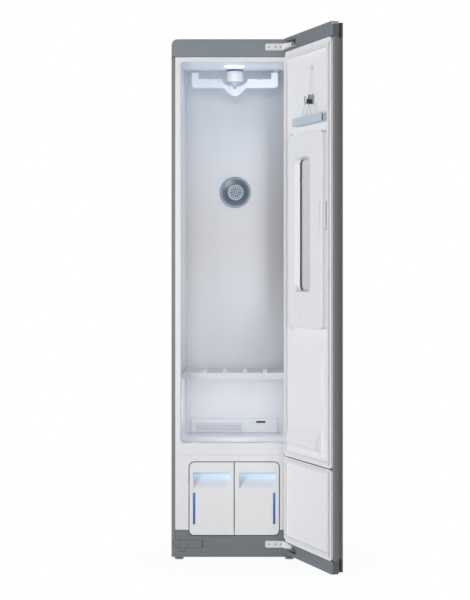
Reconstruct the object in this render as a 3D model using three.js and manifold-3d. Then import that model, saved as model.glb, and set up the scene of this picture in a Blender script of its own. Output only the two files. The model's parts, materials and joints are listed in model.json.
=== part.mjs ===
// Clothes care steam cabinet, standing with its door open: a tall casing with a white tub, a swinging
// hanger bar, a lift-out shelf, two pull-out tanks and a trouser press inside the door.
// Millimetres, +Z up. While it is built the cabinet's front plane is y = 0 and its back lies towards +y.
// The last lines move the origin to the floor, under the middle of the open cabinet's box.

import * as THREE from "three";
import { mergeVertices } from "three/addons/utils/BufferGeometryUtils.js";
import Module from "manifold-3d";

const wasm = await Module();
wasm.setup();

// Driving dimensions of the whole cabinet
const width = 445;
const height = 1850;
const depth = 525;
const openAngle = THREE.MathUtils.degToRad(110);

// Clearances and the overrun of every cut
const seat = 0.3;
const play = 1.5;
const over = 3;

// Walls
const sheet = 2;
const wall = 3;

// Heights of the front, from the floor up
const footHeight = 13;
const baseHeight = 96;
const lowerPanelHeight = 268;
const sillHeight = 40;
const headerHeight = 64;
const lintelHeight = 16;
const baseTop = footHeight + baseHeight;
const seam = baseTop + lowerPanelHeight;
const floorLevel = seam + sillHeight;
const headerBottom = height - headerHeight;
const cavityTop = headerBottom - lintelHeight;

// Widths of the front, from the side inwards
const half = width / 2;
const sideStrip = 13;
const jamb = 19;
const frameHalf = half - sideStrip;
const openingHalf = frameHalf - jamb;
const casingHalf = half - sheet - seat;

// Depths
const frontDepth = 20;
const headerDepth = 36;
const backSpace = 85;
const cavityDepth = depth - backSpace;
const casingBack = depth - sheet - seat;
const insideBack = casingBack - sheet - seat;

// Casing details
const casing = { corner: 21, rearReturn: 12, hem: 18, rim: 25 };
const louvre = { count: 6, length: 100, slot: 7, pitch: 18, bottom: 120, offset: 90 };
const inlet = { radius: 6, collar: 12, depth: 8, x: -150, z: 90 };

// The tub and its ledges
const tub = { draft: 3.5, floorFall: 5, rise: 4, corner: 12, roofCorner: 4, step: 17 };
const roof = headerBottom + tub.rise;
const bump = { height: 3, depth: 12, left: [-148, -125], right: [113, 148] };
const ledge = { width: 10, height: 6, front: 52, rear: 10 };

// The shelf
const shelf = { rise: 241, plate: 3, lip: 4, lipDrop: 16.5, lipRise: 5, front: 45, rear: 5 };
const slot = { width: 15, places: [-111, -37, 37, 111], front: 17, rear: 65 };
const shelfTop = floorLevel + shelf.rise;
const shelfY = [shelf.front, cavityDepth - shelf.rear];

// The tank module
const tank = { margin: 50.8, below: 18.5, sill: 28.3, corner: 16, gap: 3, front: 8, wall: 2.2, rear: 155 };
const tankHalf = frameHalf - tank.margin;
const tankBottom = baseTop - tank.below;
const tankTop = seam - tank.sill;
const tankBack = cavityDepth - tank.rear;
const scoop = { inner: 17, margin: 13.7, drop: 92.7, height: 56, depth: 24, grip: 6, lip: 40, wall: 2.5 };
const scoopX = [scoop.inner, tankHalf - scoop.margin];
const scoopZ = [tankTop - scoop.drop, tankTop - scoop.drop + scoop.height];
const level = { margin: 12.7, width: 8, rise: 38.5, height: 112, proud: 0.7 };
const levelX = [tankHalf - level.margin - level.width, tankHalf - level.margin];
const levelZ = [tankBottom + level.rise, tankBottom + level.rise + level.height];
const spout = { radius: 7, bore: 4, length: 12, x: 82, rise: 21.5 };
const filler = { x: [40, 124], y: [60, 160], corner: 20 };
const runner = { x: [40, 120], width: 6 };
const bayHalf = tankHalf + tank.gap;
const bayFloor = tankBottom - tank.gap;
const bayTop = tankTop + tank.gap;
const bayCorner = tank.corner + tank.gap;
const bayBack = tankBack + play;

// The unused hinge place and its blank cover, left of the base front
const blank = { margin: 3, length: 105.5, rise: 33, height: 27, depth: 4, slot: 3.5 };
const blankX = [blank.margin - half, blank.margin - half + blank.length];
const blankZ = [footHeight + blank.rise, footHeight + blank.rise + blank.height];
const blankTab = { inset: 26.5, width: 19, drop: 14 };
const blankBacking = { margin: 3, depth: 8 };

// Feet
const foot = { radius: 16.5, pad: 6, neck: 11, stem: 4, rise: 30, peg: 8, margin: 25.5, front: 38, rear: 45 };
const footX = half - foot.margin;
const footTravelRoom = 12;

// Round air vent on the back wall
const vent = { drop: 462, outer: 58.5, ring: 8, proud: 6, dishDepth: 9.5, base: 36, sheet: 2 };
const ventZ = roof - vent.drop;
const innerRing = { inner: 23, outer: 32, proud: 6 };
const grille = { slots: 12, inner: 9, outer: 21, width: 3, dots: 6, dotRadius: 1.5, dotCircle: 4.5 };

// Air intake with the lint filter, and the steam nozzle beside it
const intake = { left: -168, right: 162, height: 53, depth: 8 };
const filter = { left: -150, right: 26, bottom: 3.7, height: 30, depth: 22, frame: 5, bars: 20, bar: 3, face: 2.5 };
const nozzle = { x: 97, width: 33, height: 7, lip: 2, bore: 1.5, z: 40, tail: 20 };

// Ceiling panel, lamp and hanger drive
const axleY = cavityDepth / 2;
const ceiling = { rear: 15, fall: 3.3, thick: 4, lipHeight: 12, tongue: 43 };
const ceilingY = [frontDepth + seat, axleY + ceiling.rear];
const lamp = { y: 118, radius: 39, proud: 3 };
const stroke = 13;
const crank = 15;
const drive = { radius: 31, drop: 67, round: 7, waist: 29, waistDrop: 11, neck: 20, gap: 1.5 };
const driveBottom = roof - drive.drop;
const rotor = { radius: 20, rim: 2, cone: 13, gap: 1.7, shaft: 5, pin: 4, pinLength: 7.8, rise: 19 };
const rotorTop = roof + wall + rotor.rise;
const motor = { radius: 35, height: 44, round: 3 };
const carrier = { thick: 3, reach: 28, margin: 3.5 };
const bar = { margin: 32, drop: 88, height: 32, thick: 16, upright: 25, shoulder: 23, round: 11 };
const barHalf = openingHalf - bar.margin;
const barBottom = roof - bar.drop;
const dip = { half: 45, side: 36, belly: 24, drop: 29.5 };
const innerDip = { half: 47.5, belly: 30, flat: 10, drop: 27 };
const yoke = { half: 22, hub: 12, rise: 3.5, width: 12.4, depth: 10 };
const hookNotch = { places: [-90, 90], width: 6, depth: 3.5 };
const barSlit = { places: [-58, 43], width: 3.5, depth: 12 };
const stem = { width: 9, inset: 8.5, slotWidth: 37, slotDepth: 15 };
const stemX = barHalf - stem.inset;
const slider = { length: 34, width: 20, height: 9, bore: 0.4 };
const rail = { width: 10, height: 4, drop: 10.5 };
const railReach = slider.length / 2 + stroke + seat + wall;
const railZ = roof - rail.drop;

// Foam jacket and its air ducts
const supply = { half: 55, depth: 35, rear: 20, above: 57, mouth: 52 };
const supplyY = [depth - supply.rear - supply.depth, depth - supply.rear];
const returnDuct = { left: -150, right: 26, depth: 16, above: 35 };
const steamPipe = { radius: 5, bore: 3.5, room: 9, behind: 16 };
const steamPipeY = cavityDepth + steamPipe.behind;

// Machine space
const compressor = { margin: 104.5, rear: 117, radius: 64, height: 150, plate: 68, plateThick: 5, dome: 22 };
const exchanger = { x: [22, 188], depth: 182, rear: 25, height: 172, fins: 9, gap: 9, floor: 20 };
const exchangerY = [depth - exchanger.rear - exchanger.depth, depth - exchanger.rear];
const blower = { x: 20, drop: 93, radius: 78, depth: 54, rear: 17, inlet: 44, outletHalf: 48, foot: 30 };
const blowerY = [depth - blower.rear - blower.depth, depth - blower.rear];
const blowerZ = seam - blower.drop;
const wheel = { radius: 60, hub: 12, blades: 16, blade: 2.5, bladeLength: 14, disc: 3, clear: 5, shaft: 4 };
const boiler = { x: [88, 184], rear: 167, radius: 33, foot: 40, drop: 11 };
const boilerY = depth - boiler.rear;
const pump = { x: [-38, 14], behind: 19, depth: 40, height: 46, head: 15, headHeight: 14 };
const pumpY = [tankBack + pump.behind, tankBack + pump.behind + pump.depth];
const board = { x: [-176, -52], front: 110, rear: 20, thick: 2, post: 4, postHeight: 8, partHeight: 18 };
const boardY = [axleY - board.front, cavityDepth - board.rear];
const boardPart = { margin: 16, offset: 48, half: 20 };

// The door, drawn closed around its own pivot: x points away from the hinge side when it is negative
const pivotInset = 17.5;
const pivotDepth = 34;
const doorGap = 8;
const doorThick = 52;
const doorBottomGap = 32;
const doorTopGap = 3;
const capBottom = 42.5;
const capTop = 49;
const pivotX = half - pivotInset;
const doorInner = pivotDepth - doorGap;
const doorOuter = doorInner - doorThick;
const hingeEdge = pivotInset;
const freeEdge = hingeEdge - width;
const doorBottom = doorBottomGap;
const doorTop = height - doorTopGap;
const skinBottom = doorBottom + capBottom;
const skinTop = doorTop - capTop;

// Free edge of the door: a rim that stands proud of the outer body, with the full-height finger groove behind it
const edge = { liner: 7, frame: 13, bevel: 3, setBack: 35.5, floor: 55.5, slit: 2.5, slitRun: 10, lip: 6.5, railRun: 61.5 };
const outerEdge = freeEdge + edge.setBack;
const capCorner = 9;
const capWall = 4;
const display = { width: 80, height: 220, drop: 618, inset: 222.5, corner: 8 };
const displayX = hingeEdge - display.inset;
const displayZ = [skinTop - display.drop, skinTop - display.drop + display.height];

// Door liners and gaskets
const liner = { inset: 14.5, corner: 10, recess: 2, seamGap: 3, recessCorner: 14 };
const linerX = [freeEdge + liner.inset, hingeEdge - liner.inset];
const recessPlane = doorInner - liner.recess;
const upperInset = { free: 36, hinge: 15, low: 30, high: 31 };
const upperRecess = {
  x: [linerX[0] + upperInset.free, linerX[1] - upperInset.hinge],
  z: [seam + upperInset.low, skinTop - upperInset.high],
};
const lowerInset = { free: 41, hinge: 23, low: 26, high: 35 };
const lowerRecess = {
  x: [linerX[0] + lowerInset.free, linerX[1] - lowerInset.hinge],
  z: [skinBottom + lowerInset.low, seam - lowerInset.high],
};
const gasket = { inset: 8.5, width: 10, gap: 0.4, corner: 14, sill: 9, lintel: 7, low: 13, seamLow: 9 };
const gasketHalf = frameHalf - gasket.inset;
const dripPlate = { low: 48, crest: 59, high: 126, proud: 24, foot: 18, back: 19, free: 97.5, hinge: 63 };
const dripX = [freeEdge + dripPlate.free, linerX[1] - dripPlate.hinge];
const strip = { free: 99.5, width: 28, above: 203, height: 175, proud: 3, hole: 3.5, first: 20, pitch: 45, count: 4 };
const stripX = [freeEdge + strip.free, freeEdge + strip.free + strip.width];
const stripZ = [seam + strip.above, seam + strip.above + strip.height];
const peg = { free: 171.5, width: 5, drop: 94, thick: 8, reach: 16, lip: 10, lipThick: 4 };
const pegX = freeEdge + peg.free;
const pegZ = skinTop - peg.drop;

// Trouser press
const press = { free: 49.5, hinge: 63, above: 459, drop: 305, face: 20, back: 0.8, corner: 14, soft: 3, skin: 3 };
const pressX = [freeEdge + press.free, linerX[1] - press.hinge];
const pressZ = [seam + press.above, skinTop - press.drop];
const windowHole = { free: 103, hinge: 71, low: 120, high: 78, corner: 24, slope: 6 };
const windowX = [pressX[0] + windowHole.free, pressX[1] - windowHole.hinge];
const windowZ = [pressZ[0] + windowHole.low, pressZ[1] - windowHole.high];
const padPocket = { free: 33, hinge: 35, low: 59, high: 28, depth: 12, corner: 10 };
const pocketX = [pressX[0] + padPocket.free, pressX[1] - padPocket.hinge];
const pocketZ = [pressZ[0] + padPocket.low, pressZ[1] - padPocket.high];
const pad = { thick: 4, gap: 2 };
const pressPivot = { inset: 10, height: 10, radius: 3, round: 9.5, solid: 18, earWidth: 14, earDepth: 16, earThick: 10 };
const grip = { inset: 4, width: 16, drop: 327, height: 86, tab: 8, soft: 2, proud: 2, depth: 12 };
const gripX = [pressX[0] + grip.inset, pressX[0] + grip.inset + grip.width];
const gripZ = [pressZ[1] - grip.drop, pressZ[1] - grip.drop + grip.height];

// Trouser clamp, hung on the peg of the liner
const clamp = { half: 128, drop: 181, height: 27, back: 4, backJaw: 11, front: 20.5, frontJaw: 4, wire: 1.2 };
const clampBackY = [doorInner + clamp.back, doorInner + clamp.back + clamp.backJaw];
const clampFrontY = [doorInner + clamp.front, doorInner + clamp.front + clamp.frontJaw];
const clampZ = [pegZ - clamp.drop, pegZ - clamp.drop + clamp.height];
const bow = { spread: 46, gather: 5, waist: 30, boss: 7, drop: 113, bossHeight: 30, frontBoss: 15 };
const bossZ = pegZ - bow.drop;
const clasp = { half: 5, thick: 5, height: 24 };

// Hinge plates on the cabinet, arms that step away from the middle of the door, and the pockets for both
const hinge = { left: 110, length: 66, plateThick: 3, height: 24, corner: 4, knuckle: 7, pin: 3, pinLength: 14 };
const hingeInset = { top: 13, bottom: 14.5 };
const hingeArm = { thick: 14, step: 8, root: 20.5, elbow: 6, bend: 12, waist: 7, tip: 6 };
const hingeTopZ = doorTop - hinge.height - hingeInset.top;
const hingeLowZ = doorBottom + hingeInset.bottom;
const hingeScrew = { radius: 3, depth: 1.2, places: [12.5, 37, 54.5] };
const armNotch = { x: -30, y: -13.5, clear: 2, linkX: -98, linkY: 14 };

// Steps of the curves
const cornerSteps = 4;
const roundSteps = 20;
const fineSteps = 32;
const quarter = Math.PI / 2;

// Material finishes
function paint(color, roughness, metalness = 0) {
  return new THREE.MeshStandardMaterial({ color, roughness, metalness, flatShading: true });
}
const white = paint(0xe6e7ea, 0.45);
const tubWhite = paint(0xd3d9e2, 0.4);
const grey = paint(0x6f767b, 0.5);
const headerGrey = paint(0x7d868d, 0.45);
const edgeGrey = paint(0x6c6b69, 0.45);
const steel = paint(0x6b7276, 0.4, 0.5);
const galvanised = paint(0xa9adb0, 0.45, 0.8);
const cream = paint(0xdedcd4, 0.4, 0.1);
const tankWhite = paint(0xdedfe0, 0.4);
const tankClear = paint(0x8fb4d8, 0.2);
const ringBlue = paint(0x3f9fd6, 0.35);
const ringCyan = paint(0x6fcbe0, 0.35);
const dishMetal = paint(0x8f8a8b, 0.3, 0.9);
const rubber = paint(0xc9cac8, 0.8);
const footGrey = paint(0x4a4f55, 0.6);
const foam = paint(0xf0f0ec, 0.9);
const lensWhite = paint(0xf6f8fb, 0.2);
const darkGlass = paint(0x17191c, 0.1);
const chrome = paint(0xb9bdc2, 0.15, 1);
const jawSilver = paint(0xb8c6d4, 0.35, 0.3);
const motorBlack = paint(0x26292d, 0.5);
const boardGreen = paint(0x2f6b4a, 0.5);

// Geometry to solid: weld the corners, drop flat triangles and turn the faces outwards
function toSolid(geometry) {
  const bare = geometry.clone();
  bare.deleteAttribute("normal");
  bare.deleteAttribute("uv");
  const merged = mergeVertices(bare, 1e-4);
  const points = merged.attributes.position.array;
  const corner = (i) => new THREE.Vector3().fromArray(points, 3 * i);
  const faces = [];
  let volume = 0;
  for (let i = 0; i < merged.index.count; i += 3) {
    const [a, b, c] = merged.index.array.slice(i, i + 3);
    if (a === b || b === c || a === c) continue;
    faces.push([a, b, c]);
    volume += corner(a).dot(corner(b).cross(corner(c)));
  }
  const turned = volume < 0 ? faces.map(([a, b, c]) => [a, c, b]) : faces;
  return new wasm.Manifold(
    new wasm.Mesh({ numProp: 3, vertProperties: new Float32Array(points), triVerts: new Uint32Array(turned.flat()) }),
  );
}

function toGeometry(solid) {
  const mesh = solid.getMesh();
  const geometry = new THREE.BufferGeometry();
  geometry.setAttribute("position", new THREE.Float32BufferAttribute(mesh.vertProperties, 3));
  geometry.setIndex(new THREE.Uint32BufferAttribute(mesh.triVerts, 1));
  return geometry;
}

// The same solid on the other side of the middle plane x = 0
function mirrored(solid) {
  return toSolid(toGeometry(solid).scale(-1, 1, 1));
}

function turnedBy(solid, angle, axis, centre) {
  const geometry = toGeometry(solid);
  geometry.translate(-centre[0], -centre[1], -centre[2]);
  geometry.applyMatrix4(new THREE.Matrix4().makeRotationAxis(axis, angle));
  geometry.translate(...centre);
  return toSolid(geometry);
}

function fuse(first, ...others) {
  return others.reduce((sum, solid) => sum.add(solid), first);
}

function carve(first, ...tools) {
  return tools.reduce((rest, solid) => rest.subtract(solid), first);
}

function block([x0, x1], [y0, y1], [z0, z1]) {
  const geometry = new THREE.BoxGeometry(x1 - x0, y1 - y0, z1 - z0);
  geometry.translate((x0 + x1) / 2, (y0 + y1) / 2, (z0 + z1) / 2);
  return toSolid(geometry);
}

// Outline of a rectangle with rounded corners, counterclockwise from the low corner on both axes
function rounded([low, high], [bottom, top], radii = 0, steps = cornerSteps) {
  const [a, b, c, d] = typeof radii === "number" ? [radii, radii, radii, radii] : radii;
  const corners = [[low, bottom, a, 2], [high, bottom, b, 3], [high, top, c, 0], [low, top, d, 1]];
  return corners.flatMap(([x, z, radius, turn]) => {
    if (radius === 0) return [[x, z]];
    const cx = x === low ? x + radius : x - radius;
    const cz = z === bottom ? z + radius : z - radius;
    return Array.from({ length: steps + 1 }, (_, i) => {
      const angle = (turn + i / steps) * quarter;
      return [cx + radius * Math.cos(angle), cz + radius * Math.sin(angle)];
    });
  });
}

// Solid with the given outline, drawn in the plane square to the axis: (y, z), (x, z) or (x, y)
function prism(axis, outline, low, high) {
  return loft(axis, [[low, outline], [high, outline]]);
}

// Solid through sections of the same number of points, each [place on the axis, outline]
function loft(axis, sections) {
  const place = {
    x: ([a, b], at) => [at, a, b],
    y: ([a, b], at) => [a, at, b],
    z: ([a, b], at) => [a, b, at],
  }[axis];
  const count = sections[0][1].length;
  const positions = sections.flatMap(([at, outline]) => outline.flatMap((point) => place(point, at)));
  const index = [];
  for (let s = 0; s + 1 < sections.length; s += 1) {
    for (let i = 0; i < count; i += 1) {
      const a = s * count + i;
      const b = s * count + ((i + 1) % count);
      index.push(a, b, b + count, a, b + count, a + count);
    }
  }
  const flat = sections[0][1].map(([a, b]) => new THREE.Vector2(a, b));
  const caps = THREE.ShapeUtils.isClockWise(flat)
    ? THREE.ShapeUtils.triangulateShape([...flat].reverse(), []).map((face) => face.map((i) => count - 1 - i))
    : THREE.ShapeUtils.triangulateShape(flat, []).map(([a, b, c]) => [c, b, a]);
  const last = (sections.length - 1) * count;
  for (const [a, b, c] of caps) index.push(a, b, c, last + c, last + b, last + a);
  const geometry = new THREE.BufferGeometry();
  geometry.setAttribute("position", new THREE.Float32BufferAttribute(positions, 3));
  geometry.setIndex(index);
  return toSolid(geometry);
}

// Solid of revolution about an axis through centre; the profile is [radius, place on the axis]
function turned(axis, [x, y, z], profile, steps = roundSteps) {
  const onAxis = profile[0][0] === 0 && profile[profile.length - 1][0] === 0;
  const points = (onAxis ? profile : [...profile, profile[0]]).map(([r, h]) => new THREE.Vector2(r, h));
  const geometry = new THREE.LatheGeometry(points, steps);
  if (axis === "z") geometry.rotateX(quarter);
  if (axis === "x") geometry.rotateZ(-quarter);
  return toSolid(geometry.translate(x, y, z));
}

function cylinder(axis, centre, radius, low, high, steps = roundSteps) {
  return turned(axis, centre, [[0, low], [radius, low], [radius, high], [0, high]], steps);
}

// Round wire along a smooth path
function wire(points, radius, steps, sides = 8) {
  const path = new THREE.CatmullRomCurve3(points.map((point) => new THREE.Vector3(...point)), false, "centripetal");
  const section = new THREE.Shape(
    Array.from({ length: sides }, (_, i) => {
      const angle = (i / sides) * 2 * Math.PI;
      return new THREE.Vector2(radius * Math.cos(angle), radius * Math.sin(angle));
    }),
  );
  return toSolid(new THREE.ExtrudeGeometry(section, { extrudePath: path, steps, bevelEnabled: false }));
}

function grown([low, high], by) {
  return [low - by, high + by];
}

const cabinet = new THREE.Group();
const door = new THREE.Group();

function place(name, solid, material, parent = cabinet) {
  const mesh = new THREE.Mesh(toGeometry(solid), material);
  mesh.name = name;
  parent.add(mesh);
}

// Casing

function sidePanel() {
  const outline = [
    [half, 0],
    [half, casingBack],
    [half - casing.rearReturn, casingBack],
    [half - casing.rearReturn, casingBack - sheet],
    [half - sheet, casingBack - sheet],
    [half - sheet, sheet],
    [frameHalf + sheet, sheet],
    [frameHalf + sheet, casing.hem],
    [frameHalf, casing.hem],
    [frameHalf, 0],
  ];
  return prism("z", outline, footHeight, headerBottom - seat);
}

function bodyOutline(bottom, inset = 0) {
  const corner = casing.corner - inset;
  return rounded([-half + inset, half - inset], [bottom, height - inset], [0, 0, corner, corner], 6);
}

function topCover() {
  return carve(
    prism("y", bodyOutline(headerBottom), headerDepth + seat, casingBack),
    prism("y", bodyOutline(headerBottom - over, sheet), headerDepth - over, depth + over),
  );
}

function headerPanel() {
  return carve(
    prism("y", bodyOutline(headerBottom), 0, headerDepth),
    prism("y", bodyOutline(headerBottom - over, wall), wall, headerDepth + over),
  );
}

function backPanel() {
  const slots = [-1, 1].flatMap((side) =>
    Array.from({ length: louvre.count }, (_, i) => {
      const x = side * louvre.offset;
      const z = louvre.bottom + i * louvre.pitch;
      const outline = rounded([x - louvre.length / 2, x + louvre.length / 2], [z, z + louvre.slot], louvre.slot / 3, 1);
      return prism("y", outline, depth - sheet - over, depth + over);
    }),
  );
  const centre = [inlet.x, 0, inlet.z];
  return carve(
    fuse(
      prism("y", bodyOutline(footHeight), depth - sheet, depth),
      cylinder("y", centre, inlet.collar, depth - inlet.depth, depth),
    ),
    cylinder("y", centre, inlet.radius, depth - inlet.depth - over, depth + over),
    ...slots,
  );
}

function basePan() {
  const y = [frontDepth + seat, insideBack];
  const boss = foot.stem + seat + wall;
  const bosses = [-footX, footX].map((x) =>
    cylinder("z", [x, foot.front, 0], boss, footHeight, footHeight + foot.rise),
  );
  const bores = [-footX, footX].flatMap((x) =>
    [foot.front, depth - foot.rear].map((at) =>
      cylinder("z", [x, at, 0], foot.stem + seat, footHeight - over, footHeight + foot.rise + over, 16),
    ),
  );
  return carve(
    fuse(
      carve(
        block([-casingHalf, casingHalf], y, [footHeight, footHeight + casing.rim]),
        block(
          [-casingHalf + sheet, casingHalf - sheet],
          [y[0] + sheet, y[1] - sheet],
          [footHeight + sheet, footHeight + casing.rim + over],
        ),
      ),
      ...bosses,
    ),
    ...bores,
  );
}

// A moulded front, open behind: outline less opening, hollowed to the wall
function frontMoulding(x, z, openingX, openingZ, radii, openEnd) {
  const grownOpening = rounded(grown(openingX, wall), grown(openingZ, wall), radii.map((r) => (r ? r + wall : 0)));
  const pocket = carve(
    prism("y", rounded(grown(x, -wall), grown(z, -wall)), wall, frontDepth + over),
    prism("y", grownOpening, 0, frontDepth + 2 * over),
  );
  const reach = openEnd === "top" ? [openingZ[0], openingZ[1] + over] : [openingZ[0] - over, openingZ[1]];
  return carve(
    prism("y", rounded(x, z), 0, frontDepth),
    pocket,
    prism("y", rounded(openingX, reach, radii), -over, frontDepth + over),
  );
}

function blankOutlines(clear) {
  return [
    block(
      [blankX[0], blankX[1] + (clear ? blank.slot : 0)],
      [clear ? -over : 0, blank.depth - (clear ? 0 : seat)],
      grown(blankZ, clear ? seat : 0),
    ),
    block(
      grown([blankX[0] + blankTab.inset, blankX[0] + blankTab.inset + blankTab.width], clear ? seat : 0),
      [clear ? -over : 0, blank.depth - (clear ? 0 : seat)],
      [blankZ[0] - blankTab.drop - (clear ? seat : 0), blankZ[0] + over],
    ),
  ];
}

function baseFront() {
  const x = [-frameHalf + seat, frameHalf - seat];
  const moulding = frontMoulding(
    x,
    [footHeight, baseTop],
    [-bayHalf, bayHalf],
    [bayFloor, baseTop],
    [bayCorner, bayCorner, 0, 0],
    "top",
  );
  const backing = block(
    [x[0], blankX[1] + blank.slot + blankBacking.margin],
    [0, blankBacking.depth],
    [blankZ[0] - blankTab.drop - blankBacking.margin, blankZ[1] + blankBacking.margin],
  );
  return carve(fuse(moulding, backing), ...blankOutlines(true));
}

function lowerFrontPanel() {
  return frontMoulding(
    [-frameHalf + seat, frameHalf - seat],
    [baseTop + seat, seam - seat],
    [-bayHalf, bayHalf],
    [baseTop, bayTop],
    [0, 0, bayCorner, bayCorner],
    "bottom",
  );
}

function footSolid(stemTop) {
  return turned("z", [0, 0, 0], [
    [0, 0],
    [foot.radius - play, 0],
    [foot.radius, play],
    [foot.radius, foot.pad],
    [foot.neck, footHeight - seat],
    [foot.stem, footHeight - seat],
    [foot.stem, stemTop],
    [0, stemTop],
  ], 16);
}

function addCasing() {
  const panel = sidePanel();
  place("side_panel_right", panel, steel);
  place("side_panel_left", carve(mirrored(panel), ...blankOutlines(true)), steel);
  place("top_cover", topCover(), steel);
  place("header_panel", headerPanel(), headerGrey);
  place("back_panel", backPanel(), galvanised);
  place("base_pan", basePan(), galvanised);
  place("base_front", baseFront(), grey);
  place("hinge_blank_cover", fuse(...blankOutlines(false)), grey);
  place("lower_front_panel", lowerFrontPanel(), white);
  const spots = {
    foot_front_left: [-footX, foot.front, footHeight + foot.rise + footTravelRoom],
    foot_front_right: [footX, foot.front, footHeight + foot.rise + footTravelRoom],
    foot_rear_left: [-footX, depth - foot.rear, footHeight + foot.peg],
    foot_rear_right: [footX, depth - foot.rear, footHeight + foot.peg],
  };
  for (const [name, [x, y, stemTop]] of Object.entries(spots)) {
    const mesh = new THREE.Mesh(toGeometry(footSolid(stemTop)), footGrey);
    mesh.name = name;
    mesh.position.set(x, y, 0);
    cabinet.add(mesh);
  }
}

// Tub, foam jacket, shelf

function cavityHalf(y) {
  return openingHalf - (tub.draft * y) / cavityDepth;
}

function cavityFloor(y) {
  return floorLevel - (tub.floorFall * y) / cavityDepth;
}

function cavitySection(y, top, grow) {
  const low = tub.corner + grow;
  const high = (top === roof ? tub.roofCorner : tub.corner) + grow;
  const x = grown([-cavityHalf(y), cavityHalf(y)], grow);
  return [y, rounded(x, [cavityFloor(y) - grow, top + grow], [low, low, high, high])];
}

function cavityLoft(y0, y1, top, grow = 0) {
  return loft("y", [cavitySection(y0, top, grow), cavitySection(y1, top, grow)]);
}

function shelfLedge() {
  const y = [ledge.front, cavityDepth - ledge.rear];
  const top = shelfTop - shelf.plate - seat;
  const outline = [
    [cavityHalf(y[0]) - ledge.width, y[0]],
    [cavityHalf(y[0]) + wall / 2, y[0]],
    [cavityHalf(y[1]) + wall / 2, y[1]],
    [cavityHalf(y[1]) - ledge.width, y[1]],
  ];
  return prism("z", outline, top - ledge.height, top);
}

function filterRange() {
  const bottom = cavityFloor(cavityDepth) + filter.bottom;
  return [bottom, bottom + filter.height];
}

function nozzleRange() {
  const middle = cavityFloor(cavityDepth) + nozzle.z;
  return [middle - nozzle.height / 2, middle + nozzle.height / 2];
}

function cavityLiner() {
  const flange = rounded([-frameHalf + seat, frameHalf - seat], [seam, headerBottom - seat]);
  const shell = fuse(
    prism("y", flange, 0, wall),
    cavityLoft(0, tub.step, cavityTop, wall),
    cavityLoft(tub.step - wall, cavityDepth + wall, roof, wall),
  );
  const hollow = fuse(
    cavityLoft(-over, tub.step + over, cavityTop),
    cavityLoft(tub.step, cavityDepth, roof),
  );
  const ledgeRight = shelfLedge();
  const bumps = [bump.left, bump.right].map((x) =>
    block(x, [0, bump.depth], [floorLevel - wall / 2, floorLevel + bump.height]),
  );
  const wallRun = [cavityDepth - over, cavityDepth + wall + over];
  return carve(
    fuse(carve(shell, hollow), ledgeRight, mirrored(ledgeRight), ...bumps),
    cylinder("y", [0, 0, ventZ], vent.outer - vent.ring, ...wallRun, fineSteps),
    block([filter.left - play, filter.right + play], wallRun, grown(filterRange(), play)),
    block([nozzle.x - nozzle.width / 2 - seat, nozzle.x + nozzle.width / 2 + seat], wallRun, grown(nozzleRange(), seat)),
    cylinder("z", [0, axleY, 0], rotor.shaft + play, roof - over, roof + wall + over),
  );
}

function foamJacket() {
  const bottom = seam + wall;
  const innerBack = cavityDepth + wall + seat;
  const slabTop = cavityFloor(cavityDepth) - wall - seat;
  return carve(
    block([-casingHalf, casingHalf], [frontDepth + seat, insideBack], [bottom, headerBottom - seat]),
    block(grown([-openingHalf, openingHalf], wall + seat), [-over, innerBack], [slabTop, height]),
    block([-supply.half, supply.half], supplyY, [bottom - over, ventZ + supply.above]),
    cylinder("y", [0, 0, ventZ], supply.mouth, innerBack - over, supplyY[0] + over, fineSteps),
    block(
      [returnDuct.left, returnDuct.right],
      [cavityDepth, innerBack + returnDuct.depth],
      [bottom - over, floorLevel + returnDuct.above],
    ),
    cylinder("z", [nozzle.x, steamPipeY, 0], steamPipe.room, bottom - over, nozzleRange()[0] + over, 16),
    block(
      grown([nozzle.x - nozzle.width / 2, nozzle.x + nozzle.width / 2], play),
      [innerBack - over, cavityDepth + nozzle.tail + play],
      grown(nozzleRange(), play),
    ),
  );
}

function shelfSolid() {
  const reach = cavityHalf(shelfY[1]) - play;
  const plate = block([-reach, reach], shelfY, [shelfTop - shelf.plate, shelfTop]);
  const lip = block(
    [-reach, reach],
    [shelf.front, shelf.front + shelf.lip],
    [shelfTop - shelf.lipDrop, shelfTop + shelf.lipRise],
  );
  const slotY = [shelfY[0] + slot.front, shelfY[1] - slot.rear];
  const slots = slot.places.map((x) =>
    prism(
      "z",
      rounded([x - slot.width / 2, x + slot.width / 2], slotY, slot.width / 2 - seat),
      shelfTop - shelf.plate - over,
      shelfTop + over,
    ),
  );
  return carve(fuse(plate, lip), ...slots);
}

function addTub() {
  place("cavity_liner", cavityLiner(), tubWhite);
  place("foam_jacket", foamJacket(), foam);
  place("shelf", shelfSolid(), white);
}

// Back wall: vent, intake, filter, nozzle

function ventRing() {
  const inner = vent.outer - vent.ring;
  const back = cavityDepth - seat;
  const front = cavityDepth - vent.proud;
  const soft = vent.ring / 4;
  return turned("y", [0, 0, ventZ], [
    [inner, back],
    [vent.outer, back],
    [vent.outer, front + soft],
    [vent.outer - soft, front],
    [inner + soft, front],
    [inner, front + soft],
  ], fineSteps);
}

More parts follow.
